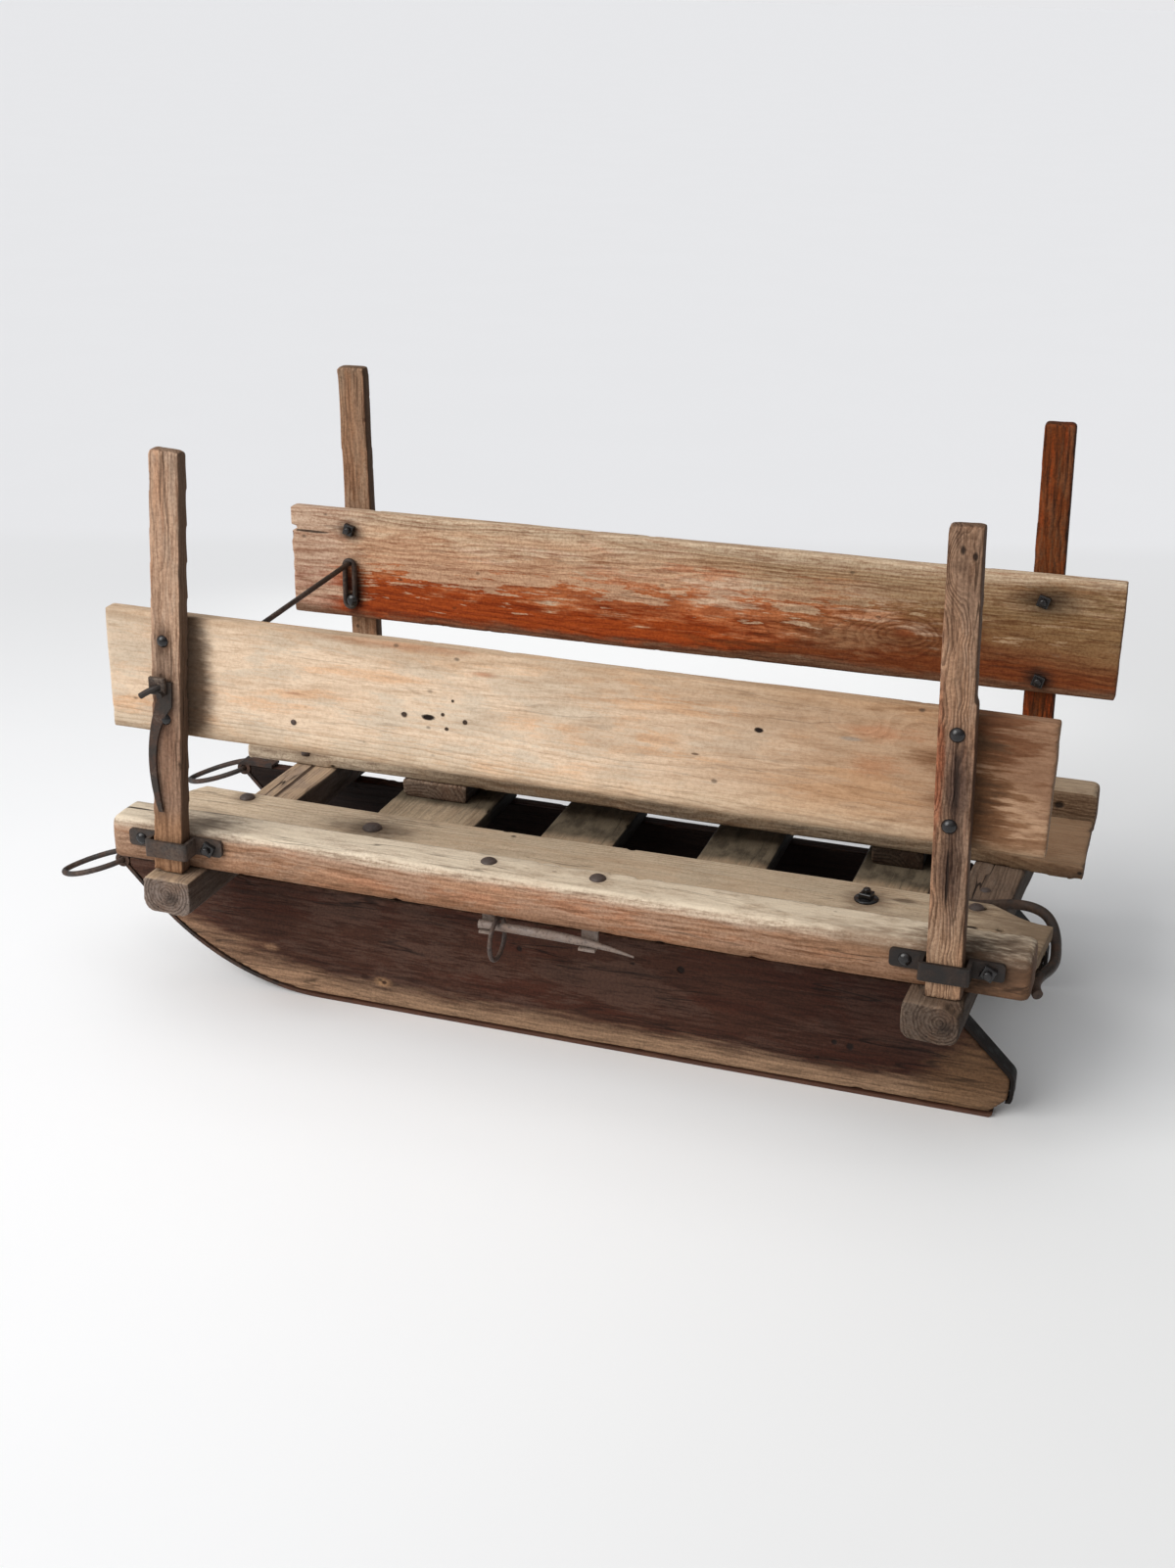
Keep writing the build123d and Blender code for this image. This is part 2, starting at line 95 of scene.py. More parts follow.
def parts_of(tree, vector):
    """The x, y and z of a place."""
    node = tree.nodes.new("ShaderNodeSeparateXYZ")
    feed(tree, node.inputs[0], vector)
    return node.outputs


def made_of(tree, x, y, z):
    """A place from its x, y and z."""
    node = tree.nodes.new("ShaderNodeCombineXYZ")
    for socket, value in zip(node.inputs, (x, y, z)):
        feed(tree, socket, value)
    return node.outputs[0]


def mottle(tree, place, stretch, detail, rough=.5, twist=0.0):
    """Noise whose grain is 1/stretch metres long in each direction."""
    node = tree.nodes.new("ShaderNodeTexNoise")
    feed(tree, node.inputs["Vector"], vectors(tree, "MULTIPLY", place, stretch))
    for label, value in (("Scale", 1), ("Detail", detail), ("Roughness", rough), ("Distortion", twist)):
        feed(tree, node.inputs[label], value)
    return node.outputs[0]


def sway(tree, place, stretch, detail, rough, twist=0.0):
    """The same noise counted from its middle, so it goes both ways from nought."""
    return sums(tree, "SUBTRACT", mottle(tree, place, stretch, detail, rough, twist), .5)



def between(tree, value, start, end, low=0.0, high=1.0):
    """Rises softly from low to high as the value goes from start to end."""
    node = tree.nodes.new("ShaderNodeMapRange")
    node.interpolation_type = "SMOOTHSTEP"
    for label, v in (("Value", value), ("From Min", start), ("From Max", end), ("To Min", low),
                     ("To Max", high)):
        feed(tree, node.inputs[label], v)
    return node.outputs[0]


def blend(tree, amount, first, second, way="MIX"):
    """Two colours mixed."""
    node = tree.nodes.new("ShaderNodeMix")
    node.data_type, node.blend_type = "RGBA", way
    feed(tree, node.inputs[0], amount)
    feed(tree, node.inputs[6], first)
    feed(tree, node.inputs[7], second)
    return node.outputs[2]


SOCKETS = {"number": "NodeSocketFloat", "place": "NodeSocketVector", "colour": "NodeSocketColor",
           "shape": "NodeSocketGeometry"}


def effect(name, takes, gives, kind="ShaderNodeTree"):
    """A new node group. Takes and gives name its inputs and outputs under what each one carries."""
    tree = bpy.data.node_groups.new(name, kind)
    for side_, wanted in (("INPUT", takes), ("OUTPUT", gives)):
        for what, labels in wanted.items():
            for label in labels.split(", "):
                tree.interface.new_socket(label, in_out=side_, socket_type=SOCKETS[what])
    return tree, tree.nodes.new("NodeGroupInput").outputs, tree.nodes.new("NodeGroupOutput").inputs


def use(tree, group, **values):
    """Places a group in a material; an underscore in a name stands for a space."""
    node = tree.nodes.new("ShaderNodeGroup")
    node.node_tree = group
    for label, value in values.items():
        feed(tree, node.inputs[label.replace("_", " ")], value)
    return node.outputs


def nearest_edge(tree, place, low, high):
    """How far a point of a box's surface is from the box's nearest edge."""
    near = parts_of(tree, vectors(tree, "MINIMUM", vectors(tree, "SUBTRACT", place, low),
                                  vectors(tree, "SUBTRACT", high, place)))
    small = sums(tree, "MINIMUM", near[0], near[1])
    large = sums(tree, "MAXIMUM", near[0], near[1])
    return sums(tree, "MAXIMUM", small, sums(tree, "MINIMUM", large, near[2]))


# Growth rings, fibres and slow streaks of a sawn board. Place runs along the grain in x, and its
# y and z are counted from the pith.
grain_lines, g, out = effect("grain lines", {"place": "Place", "number": "Pitch, Wander, Curl, Taper, Push"},
                             {"number": "Rings, Fibres, Streaks, Clouds, Checks, Specks"})
t = grain_lines
along = parts_of(t, g["Place"])
slow = sway(t, g["Place"], (2.6, 13, 13), 2, .45)
quick = sway(t, g["Place"], (14, 75, 75), 2, .5)
wave = sway(t, vectors(t, "ADD", g["Place"], (4, 4, 4)), (15, 26, 26), 2, .5, .6)
distance = sums(t, "SQRT", plus(t, sums(t, "POWER", along[1], 2), sums(t, "POWER", along[2], 2)))
for stray, amount in ((along[0], g["Taper"]), (slow, g["Wander"]), (quick, .004), (wave, g["Curl"])):
    distance = plus(t, distance, times(t, stray, amount))
distance = plus(t, distance, g["Push"])
count = sums(t, "DIVIDE", plus(t, distance, 1), g["Pitch"])
phase = sums(t, "FRACT", count)
late = times(t, between(t, phase, .2, .8), between(t, phase, .86, 1, 1, 0))
year = mottle(t, made_of(t, count, .5, .5), (.37, 1, 1), 1, .5)
feed(t, out["Rings"], times(t, late, between(t, year, .3, .7, .25, 1)))
fine = mottle(t, g["Place"], (64, 620, 620), 3, .62)
coarse = mottle(t, g["Place"], (17, 200, 200), 4, .66)
feed(t, out["Fibres"], plus(t, times(t, fine, .42), times(t, coarse, .58)))
feed(t, out["Streaks"], mottle(t, g["Place"], (4.2, 34, 34), 5, .62, .3))
feed(t, out["Clouds"], mottle(t, vectors(t, "ADD", g["Place"], (3, 7, 1)), (7, 17, 17), 4, .62, .4))
check = sums(t, "ABSOLUTE", sway(t, g["Place"], (4.5, 62, 62), 2, .5))
here = between(t, mottle(t, vectors(t, "ADD", g["Place"], (9, 2, 4)), (6, 30, 30), 2, .5), .5, .66)
feed(t, out["Checks"], times(t, between(t, check, .004, .02, 1, 0), here))
dots = t.nodes.new("ShaderNodeTexVoronoi")
feed(t, dots.inputs["Vector"], vectors(t, "MULTIPLY", g["Place"], (30, 48, 48)))
dots.inputs["Scale"].default_value = 1
feed(t, out["Specks"], times(t, between(t, dots.outputs["Distance"], .05, .13, 1, 0),
                             between(t, parts_of(t, dots.outputs["Color"])[0], .5, .9)))

# A mark with a ragged rim: a knot, a nail hole or a stain, wherever it was measured.
spot, g, out = effect("spot", {"place": "Place, Grain, Centre, Reach", "number": "Soft, Ragged"},
                      {"number": "Mask"})
t = spot
off = vectors(t, "LENGTH", vectors(t, "DIVIDE", vectors(t, "SUBTRACT", g["Place"], g["Centre"]), g["Reach"]))
rim = sway(t, g["Grain"], (55, 190, 190), 3, .6)
off = plus(t, off, times(t, rim, g["Ragged"]))
feed(t, out["Mask"], between(t, off, sums(t, "SUBTRACT", 1, g["Soft"]), 1, 1, 0))

# A side of the piece past a ragged line, such as the snow-worn foot of a runner.
past_line, g, out = effect("past a line", {"place": "Place, Grain, Way", "number": "Start, End, Ragged"},
                           {"number": "Mask"})
t = past_line
frayed = plus(t, sway(t, g["Grain"], (5, 26, 26), 3, .6), sway(t, g["Grain"], (22, 160, 160), 4, .64))
reach = plus(t, vectors(t, "DOT_PRODUCT", g["Place"], g["Way"]), times(t, frayed, g["Ragged"]))
feed(t, out["Mask"], between(t, reach, g["Start"], g["End"]))

# Handled and knocked edges, where the surface has gone.
edge_wear, g, out = effect("edge wear", {"place": "Place, Low, High", "number": "Width"}, {"number": "Mask"})
t = edge_wear
gap = nearest_edge(t, g["Place"], g["Low"], g["High"])
patchy = mottle(t, g["Place"], (45, 45, 45), 4, .65)
width = times(t, g["Width"], between(t, patchy, .3, .7, .3, 1.7))
feed(t, out["Mask"], between(t, gap, 0, width, 1, 0))

# Softwood turns warm in streaks and grey in clouds.
discoloured, g, out = effect("discoloured", {"colour": "Light, Warm, Grey",
                                             "number": "Streaks, Clouds, Fibres, Warmed, Greyed"},
                             {"colour": "Colour"})
t = discoloured
frayed = sums(t, "SUBTRACT", g["Fibres"], .5)
streaky = plus(t, g["Streaks"], times(t, frayed, .6))
cloudy = plus(t, g["Clouds"], times(t, frayed, .8))
colour = blend(t, times(t, between(t, streaky, .48, .6), g["Warmed"]), g["Light"], g["Warm"])
feed(t, out["Colour"], blend(t, times(t, between(t, cloudy, .48, .58), g["Greyed"]), colour, g["Grey"]))

# Late wood, fibres and grit darken the colour and stand in relief.
grain_shade, g, out = effect("grain shade", {"place": "Place", "colour": "Colour, Shade",
                                             "number": "Rings, Fibres, Ring Shade, Fibre Shade, Gritty"},
                             {"colour": "Colour", "number": "Height"})
t = grain_shade
grit = mottle(t, g["Place"], (330, 330, 330), 4, .7)
colour = g["Colour"]
for amount in (times(t, g["Rings"], g["Ring Shade"]),
               times(t, between(t, g["Fibres"], .38, .54, 1, 0), g["Fibre Shade"]),
               between(t, grit, .36, .6, g["Gritty"], 0)):
    colour = blend(t, amount, colour, g["Shade"], "MULTIPLY")
feed(t, out["Colour"], colour)
height = plus(t, times(t, g["Rings"], .45), g["Fibres"])
feed(t, out["Height"], plus(t, height, times(t, grit, .5)))

# Dust settles on what faces up, and what faces back is darkened as painted shade.
dust_and_back_shade, g, out = effect("dust and back shade", {"place": "Facing, Grain"}, {"number": "Dust, Dirt"})
t = dust_and_back_shade
facing = parts_of(t, g["Facing"])
lies = between(t, mottle(t, g["Grain"], (22, 40, 40), 5, .65), .34, .6, .35, 1)
feed(t, out["Dust"], times(t, between(t, facing[2], .45, .85), lies))
feed(t, out["Dirt"], between(t, times(t, facing[0], -1), .45, .8))

# Sawn ends, which cut across the grain.
end_grain, g, out = effect("end grain", {"place": "Facing, Along"}, {"number": "Mask"})
t = end_grain
endways = vectors(t, "DOT_PRODUCT", vectors(t, "ABSOLUTE", g["Facing"]), g["Along"])
feed(t, out["Mask"], between(t, endways, .7, .92))

# The rings part round a knot, more than twice as far along the grain as across it.
knot_push, g, out = effect("knot", {"place": "Grain, Centre", "number": "Size"}, {"number": "Push"})
t = knot_push
reach = made_of(t, times(t, g["Size"], 2.2), g["Size"], g["Size"])
off = vectors(t, "DIVIDE", vectors(t, "SUBTRACT", g["Grain"], g["Centre"]), reach)
swell = sums(t, "EXPONENT", times(t, vectors(t, "DOT_PRODUCT", off, off), -.5))
feed(t, out["Push"], times(t, swell, times(t, g["Size"], 2.4)))


def stood_up(tree, place, g):
    """A place on a leaning piece, read as if the piece stood straight."""
    x, y, z = parts_of(tree, vectors(tree, "SUBTRACT", place, g["Middle"]))
    upright_x = sums(tree, "SUBTRACT", x, times(tree, z, g["Lean"]))
    upright_z = sums(tree, "SUBTRACT", z, times(tree, x, g["Rise"]))
    return vectors(tree, "ADD", made_of(tree, upright_x, y, upright_z), g["Middle"])


straighten, g, out = effect("straighten", {"place": "Place, Middle", "number": "Lean, Rise"},
                            {"place": "Place"})
feed(straighten, out["Place"], stood_up(straighten, g["Place"], g))

# The shape of old wood: long hollows along the grain, and edges that are chipped and rounded.
worn_shape, g, out = effect("worn shape", {"shape": "Shape", "place": "Stretch, Low, High, Middle",
                                           "number": "Hollow, Chip, Chip Width, Lean, Rise"},
                            {"shape": "Shape"}, "GeometryNodeTree")
t = worn_shape
upright = stood_up(t, t.nodes.new("GeometryNodeInputPosition").outputs[0], g)
hollow = between(t, mottle(t, upright, g["Stretch"], 3, .55), .3, .7)
gap = nearest_edge(t, upright, g["Low"], g["High"])
bites = between(t, mottle(t, upright, (46, 46, 46), 2, .5), .6, .74)
bites = times(t, bites, between(t, gap, 0, g["Chip Width"], 1, 0))
depth = plus(t, times(t, hollow, g["Hollow"]), times(t, bites, g["Chip"]))
push = t.nodes.new("ShaderNodeVectorMath")
push.operation = "SCALE"
feed(t, push.inputs[0], t.nodes.new("GeometryNodeInputNormal").outputs[0])
feed(t, push.inputs["Scale"], times(t, depth, -1))
move = t.nodes.new("GeometryNodeSetPosition")
feed(t, move.inputs["Geometry"], g["Shape"])
feed(t, move.inputs["Offset"], push.outputs[0])
feed(t, out["Shape"], move.outputs[0])

# Which way the grain runs, then the two ways across it.
GRAINS = {"X": (0, 1, 2), "Y": (1, 0, 2), "Z": (2, 0, 1)}


def straight_box(piece, lean, rise):
    """A leaning piece's middle, and its lowest and highest corner once it is read as straight."""
    low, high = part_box(piece)
    middle = (low + high) / 2
    seen = []
    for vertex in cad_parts[piece].data.vertices:
        p = vertex.co - middle
        seen.append(Vector((p.x - p.z * lean, p.y, p.z - p.x * rise)) + middle)
    low = Vector([min(p[i] for p in seen) for i in range(3)])
    high = Vector([max(p[i] for p in seen) for i in range(3)])
    return middle, low, high


def wear_down(piece, grain, chip, voxel=3.0, hollow=1.0, chip_width=6.0, rounds=3, lean=0.0, rise=0.0):
    """Rounds and roughens a sawn piece. Sizes are in mm; lean and rise are slopes."""
    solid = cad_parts[piece]
    solid.modifiers.new("joined skin", "WELD").merge_threshold = .00002
    skin = solid.modifiers.new("even skin", "REMESH")
    skin.mode, skin.voxel_size, skin.use_smooth_shade = "VOXEL", voxel / 1000, True
    soft = solid.modifiers.new("rounded edges", "SMOOTH")
    soft.iterations, soft.factor = rounds, .5
    worn = solid.modifiers.new("wear", "NODES")
    worn.node_group = worn_shape
    middle, low, high = straight_box(piece, lean, rise)
    waves_along, waves_across = 4.0, 26.0    # how many hollows there are in a metre
    stretch = [waves_across] * 3
    stretch[GRAINS[grain][0]] = waves_along
    facts = {"Stretch": stretch, "Hollow": hollow / 1000, "Low": low, "High": high, "Chip": chip / 1000,
             "Chip Width": chip_width / 1000, "Lean": lean, "Rise": rise, "Middle": middle}
    for socket in worn_shape.interface.items_tree:
        if socket.in_out == "INPUT" and socket.name in facts:
            value = facts[socket.name]
            worn[socket.identifier] = value if isinstance(value, float) else [float(v) for v in value]


def patch(middle, size, colour, much=.9, soft=.6, ragged=.5, deep=0, knot=0):
    """A knot, hole or stain: its middle and its reach in mm, its colour and how much of it shows. A deep
    one goes into the relief too, and the rings part round one with a knot, so many mm across."""
    return {"middle": middle, "size": size, "colour": colour, "much": much, "soft": soft, "ragged": ragged,
            "deep": deep, "knot": knot}


def past(way, start, end, ragged, colour, much=.9):
    """All of a piece that lies beyond a ragged line: none at start mm in the direction way, all at end."""
    return {"way": way, "start": start, "end": end, "ragged": ragged, "colour": colour, "much": much,
            "deep": 0, "knot": 0}


def mask_of(tree, mark, place, grain):
    """Where a mark lies, 0 to 1."""
    if "way" in mark:
        return use(tree, past_line, Place=vectors(tree, "SUBTRACT", place, (home, 0, 0)), Grain=grain,
                   Way=mark["way"], Start=mark["start"] / 1000, End=mark["end"] / 1000,
                   Ragged=mark["ragged"] / 1000)[0]
    reach = mark["size"] if isinstance(mark["size"], tuple) else (mark["size"],) * 3
    return use(tree, spot, Place=place, Grain=grain, Centre=at(*mark["middle"]),
               Reach=[v / 1000 for v in reach], Soft=mark["soft"], Ragged=mark["ragged"])[0]


def tint(tree, colour, mask, much, other):
    return blend(tree, times(tree, mask, much), colour, tone(*other))


def blank(name):
    """A new material and its empty tree."""
    made = bpy.data.materials.new(name)
    made.use_nodes = True
    made.node_tree.nodes.clear()
    return made, made.node_tree


def surface(tree, colour, rough, height, depth, gloss):
    """Ends a material with one surface, whose relief is depth mm deep."""
    bump = tree.nodes.new("ShaderNodeBump")
    bump.inputs["Distance"].default_value = depth / 1000
    bump.inputs["Strength"].default_value = 1
    feed(tree, bump.inputs["Height"], height)
    shader = tree.nodes.new("ShaderNodeBsdfPrincipled")
    feed(tree, shader.inputs["Base Color"], colour)
    feed(tree, shader.inputs["Roughness"], rough)
    feed(tree, shader.inputs["Normal"], bump.outputs[0])
    shader.inputs["Specular IOR Level"].default_value = gloss
    tree.links.new(shader.outputs[0], tree.nodes.new("ShaderNodeOutputMaterial").inputs[0])
    return shader


def clad(finish, *pieces):
    """Gives CAD pieces a finish."""
    for piece in pieces:
        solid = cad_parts[piece]
        solid.data.materials.clear()
        solid.data.materials.append(finish)


def old_wood(piece, grain, light, dark, grey, warm, pith, lean=0.0, rise=0.0, pitch=4.5, wander=30,
             curl=4, taper=0.0, rings=.7, fibres=.7, greyed=.5, warmed=.5, checks=.6, specks=.6, edge=None,
             edge_mm=4, dust=None, back_shade=None, ends=.5, marks=(), relief=1.0, rough=.74, gritty=.4):
    """Weathered softwood for one piece. Light and dark are its early and late wood, grey and warm the
    two ways in which it has discoloured. Pith is mm from the piece's middle to the tree's heart, and
    pitch is mm from ring to ring. Edge and dust are a colour and how much of it lies on worn edges and
    on what faces up; the painted shade on what faces back is given the same way."""
    made, tree = blank(piece + "_wood")
    coords = tree.nodes.new("ShaderNodeTexCoord")
    middle, low, high = straight_box(piece, lean, rise)
    place = use(tree, straighten, Place=coords.outputs["Object"], Lean=lean, Rise=rise, Middle=middle)[0]
    order = GRAINS[grain]
    turned = parts_of(tree, vectors(tree, "SUBTRACT", place, middle))
    turned = made_of(tree, *[turned[i] for i in order])
    push = 0.0
    for mark in marks:
        if mark["knot"]:
            centre = at(*mark["middle"]) - middle
            parted = use(tree, knot_push, Grain=turned, Centre=[centre[i] for i in order],
                         Size=mark["knot"] / 1000)[0]
            push = plus(tree, push, parted)
    turned = vectors(tree, "SUBTRACT", turned, (0, pith[0] / 1000, pith[1] / 1000))
    lines = use(tree, grain_lines, Place=turned, Pitch=pitch / 1000, Wander=wander / 1000, Curl=curl / 1000,
                Taper=taper, Push=push)
    colour = use(tree, discoloured, Light=tone(*light), Warm=tone(*warm), Grey=tone(*grey),
                 Streaks=lines["Streaks"], Clouds=lines["Clouds"], Fibres=lines["Fibres"],
                 Warmed=warmed, Greyed=greyed)[0]
    if edge:
        worn = use(tree, edge_wear, Place=place, Low=low, High=high, Width=edge_mm / 1000)[0]
        colour = tint(tree, colour, worn, edge[3], edge[:3])
    for mark in marks:
        if not mark["deep"]:
            colour = tint(tree, colour, mask_of(tree, mark, place, turned), mark["much"], mark["colour"])
    shade = [late_ / early for late_, early in zip(tone(*dark), tone(*light))]
    shaded = use(tree, grain_shade, Place=place, Colour=colour, Shade=shade, Rings=lines["Rings"],
                 Fibres=lines["Fibres"], Ring_Shade=rings, Fibre_Shade=fibres, Gritty=gritty)
    colour, height = shaded["Colour"], shaded["Height"]
    dust_and_back_shade_masks = use(tree, dust_and_back_shade, Facing=coords.outputs["Normal"], Grain=turned)
    if dust:
        colour = tint(tree, colour, dust_and_back_shade_masks["Dust"], dust[3], dust[:3])
    # Painted shade: what faces back is darkened.
    if back_shade:
        colour = tint(tree, colour, dust_and_back_shade_masks["Dirt"], back_shade[3], back_shade[:3])
    for mark in marks:
        if mark["deep"]:
            mask = mask_of(tree, mark, place, turned)
            colour = tint(tree, colour, mask, mark["much"], mark["colour"])
            height = sums(tree, "SUBTRACT", height, times(tree, mask, mark["deep"]))
    split = sums(tree, "MAXIMUM", times(tree, lines["Checks"], checks), times(tree, lines["Specks"], specks))
    colour = tint(tree, colour, split, 1, [v * .35 for v in dark])
    height = sums(tree, "SUBTRACT", height, split)
    along = [float(i == order[0]) for i in range(3)]
    endways = use(tree, end_grain, Facing=coords.outputs["Normal"], Along=along)[0]
    colour = tint(tree, colour, endways, ends, [v * .62 for v in dark])
    roughness = plus(tree, times(tree, lines["Fibres"], -.22), rough + .1)
    surface(tree, colour, roughness, height, .9 * relief, gloss=.13)
    clad(made, piece)


def runner_marks(y):
    """What wear has left on a runner: pale foot and front, lighter tail, knots and holes, and painted shade
    on its inner face.
    """
    return (
        past((-1, 0, 0), 60, 420, 120, (44, 20, 12), .65),
        past((0, 0, -1), -38, -14, 26, (176, 142, 112), .75),
        past((.3, 0, -1), 44, 90, 60, (178, 140, 110), .75),
        past((-1, 0, -.6), 355, 410, 50, (118, 88, 62), .75),
        patch((216, y, 34), (15, 30, 8), (184, 142, 104), .8, soft=.8),
        patch((355, y, 55), (14, 30, 7), (164, 126, 96), .7, soft=.8, ragged=1.1),
        patch((214, y, 34), (4, 30, 3), (50, 32, 24), deep=1),
        patch((237, y, 37), (7, 30, 4), (50, 30, 22), deep=1),
        patch((52, y, 105), 4, (24, 16, 13), soft=.5, deep=1),
        patch((-131, y, 112), 5, (22, 15, 12), soft=.4, deep=2),
        patch((-317, y, 55), 5, (24, 18, 16), deep=1),
        patch((-300, y, 57), 4, (24, 18, 16), deep=1),
        # Painted shade: the inner face under the deck is darkened nearly to black.
        past((0, -y / 161, 0), -142.5, -140, 2, (14, 9, 7), .85),
    )


SIDES = (("left", 1), ("right", -1))    # and which way y goes there
for side, y in SIDES:
    wear_down("runner_" + side, "X", voxel=3.4, chip=1.5, rounds=2)
    old_wood("runner_" + side, "X", (75, 46, 34), (40, 22, 15), (88, 64, 53), (74, 34, 21), pith=(55, 20),
             pitch=5.5, wander=40, taper=.02, rings=.4, fibres=.55, greyed=.7, specks=.8,
             edge=(140, 112, 90, .35), edge_mm=3, marks=runner_marks(161 * y), rough=.62)


# Shoes and tail straps
# Flat strap iron nailed under the runners, folded over the tip and rolled into an eye. The snow
# keeps the sole bright brown; above it the iron is black with rust.

old_iron, g, out = effect("old iron", {"place": "Place", "colour": "Dark, Rust, Worn",
                                       "number": "Rusted, Rubbed"},
                          {"colour": "Colour", "number": "Roughness, Height, Bare"})
t = old_iron
pits = mottle(t, g["Place"], (320, 320, 320), 4, .65)
scale = mottle(t, vectors(t, "ADD", g["Place"], (5, 3, 8)), (70, 70, 70), 5, .62)
film = mottle(t, vectors(t, "ADD", g["Place"], (2, 9, 6)), (24, 24, 24), 3, .55)
rusty = plus(t, times(t, scale, .6), times(t, film, .4))
rusty = times(t, between(t, rusty, .42, .58), g["Rusted"])
bare = plus(t, times(t, pits, .4), times(t, film, .6))
bare = times(t, between(t, bare, .5, .62), g["Rubbed"])
shade = blend(t, rusty, g["Dark"], g["Rust"])
shade = blend(t, bare, shade, g["Worn"])
shade = blend(t, between(t, pits, .3, .5, .55, 0), shade, (.008, .006, .005, 1))
feed(t, out["Colour"], shade)
feed(t, out["Bare"], bare)
feed(t, out["Roughness"], sums(t, "SUBTRACT", plus(t, .5, times(t, rusty, .3)), times(t, bare, .14)))
feed(t, out["Height"], plus(t, pits, times(t, scale, .8)))


def iron(name, dark, rust, worn, rusted, rubbed, marks=(), bumps=.45, shine=0.0, gloss=.35):
    """Old wrought iron: dark scale, rust, and a rubbed place or two. Bumps is its relief in mm."""
    made, tree = blank(name)
    place = tree.nodes.new("ShaderNodeTexCoord").outputs["Object"]
    look = use(tree, old_iron, Place=place, Dark=tone(*dark), Rust=tone(*rust), Worn=tone(*worn),
               Rusted=rusted, Rubbed=rubbed)
    colour = look["Colour"]
    for mark in marks:
        colour = tint(tree, colour, mask_of(tree, mark, place, place), mark["much"], mark["colour"])
    rough = sums(tree, "SUBTRACT", look["Roughness"], shine)
    shader = surface(tree, colour, rough, look["Height"], bumps, gloss)
    feed(tree, shader.inputs["Metallic"], times(tree, look["Bare"], .7))
    return made


shoe_iron = iron("shoe_iron", (44, 34, 29), (84, 54, 38), (104, 90, 78), rusted=.7, rubbed=.3,
                 marks=(past((0, 0, -1), -9, -4, 4, (96, 58, 40), .5),))
strap_iron = iron("strap_iron", (17, 13, 11), (36, 25, 19), (56, 48, 43), rusted=.5, rubbed=.15, gloss=.15)
clad(shoe_iron, "shoe_left", "shoe_right")
clad(strap_iron, "tail_strap_left", "tail_strap_right")


# Pull rings
# Long links of round iron bar, bent and forge-welded. They hang loose in the rolled eyes of the
# shoes, for the rope that pulls the sled.

ring_iron = iron("ring_iron", (40, 33, 29), (78, 52, 38), (112, 100, 90), rusted=.55, rubbed=.4)
clad(ring_iron, "pull_ring_left", "pull_ring_right")


# Bolsters
# Heavy crosswise beams on the runners, one in front and one behind. Their ends stand out under the
# stakes and show grey, cracked end grain.

BOLSTER_WOOD = {"front": ((150, 130, 117), (74, 58, 49), (150, 137, 129), (134, 104, 84)),
                "rear": ((110, 91, 77), (52, 38, 30), (110, 97, 86), (94, 66, 48))}
BOLSTER_END = 279    # mm from the sled's middle
for end, x in (("front", 408), ("rear", -427)):
    wear_down("bolster_" + end, "Y", hollow=1.1, chip=3, chip_width=9)
    old_wood("bolster_" + end, "Y", *BOLSTER_WOOD[end], pith=(6, 4), pitch=3.6, wander=14,
             fibres=.5, warmed=.4, checks=.9, ends=.25,
             edge=(172, 152, 136, .6) if end == "front" else (150, 124, 104, .5), edge_mm=5,
             dust=(186, 158, 128, .75) if end == "front" else (126, 104, 86, .4),
             marks=(patch((x, BOLSTER_END, 160), (12, 14, 13), (40, 30, 25), .75, soft=.9, ragged=1),
                    patch((x, -BOLSTER_END, 160), (12, 14, 13), (40, 30, 25), .75, soft=.9, ragged=1),
                    patch((408, -40, 182), (3.5, 150, 4), (58, 42, 32), ragged=.3, deep=2),
                    patch((396, 190, 182), (60, 60, 30), (60, 46, 38), .6, soft=.9)),
             # Painted shade on the faces that face back.
             back_shade=(44, 33, 25, .75), relief=1.4)


# Deck slats and riser blocks
# Four rough boards laid across the runners, and blocks of the same wood that carry the planks.
# They keep a brown, dusty surface, because the load covered them. Painted shade darkens them toward
# the right, nearly to black beside and under the rails, and on the faces that face back.

SLAT_WOOD = ((224, 198, 166), (190, 164, 134), (184, 158, 128), (176, 150, 120))
for number, look in enumerate(SLAT_WOOD, 1):
    piece = "slat_%d" % number
    shaded = 52 if number == 1 else 16    # mm to the right of the middle, where the rail's shade begins
    wear_down(piece, "Y", voxel=3.2, hollow=.9, chip=2.5)
    old_wood(piece, "Y", look, [v * .66 for v in look], (168, 152, 128), (146, 114, 84),
             pith=(10 * number - 25, -45), pitch=4.8, wander=36, rings=.6, fibres=.6,
             # Painted shade: darker toward the right, and nearly black beside the right rail and under the
             # left plank.
             marks=(past((0, -1, 0), -30, 60, 40, (110, 88, 68), .6),
                    past((0, -1, 0), shaded, shaded + 20, 14, (16, 11, 8), .92),
                    past((0, 1, 0), 60, 74, 8, (16, 11, 8), .92)),
             back_shade=(20, 14, 10, .9), dust=(170, 152, 126, .3), edge=(176, 156, 130, .4), relief=1.2)

# Painted light and shade: the front blocks are a lightened copy of the wood, and the rear blocks a darkened
# copy.
RISER_WOOD = {"front": ((158, 132, 112), (96, 74, 60), (158, 142, 126), (130, 96, 74)),
              "rear": ((80, 60, 46), (42, 30, 22), (90, 76, 62), (70, 44, 30))}
for end, look in RISER_WOOD.items():
    for side in ("left", "right"):
        piece = "riser_%s_%s" % (end, side)
        wear_down(piece, "Y", voxel=3.2, hollow=.9, chip=2.5)
        # Painted shade on the faces that face back.
        old_wood(piece, "Y", *look, pith=(20, -40), edge=(130, 106, 84, .4), back_shade=(20, 14, 10, .85),
                 relief=1.2)


# Beams
# The outer rails, two inches square, planed once and then weathered: silver on top, pinker on the
# outer face, with the edges rounded by hands and ropes.

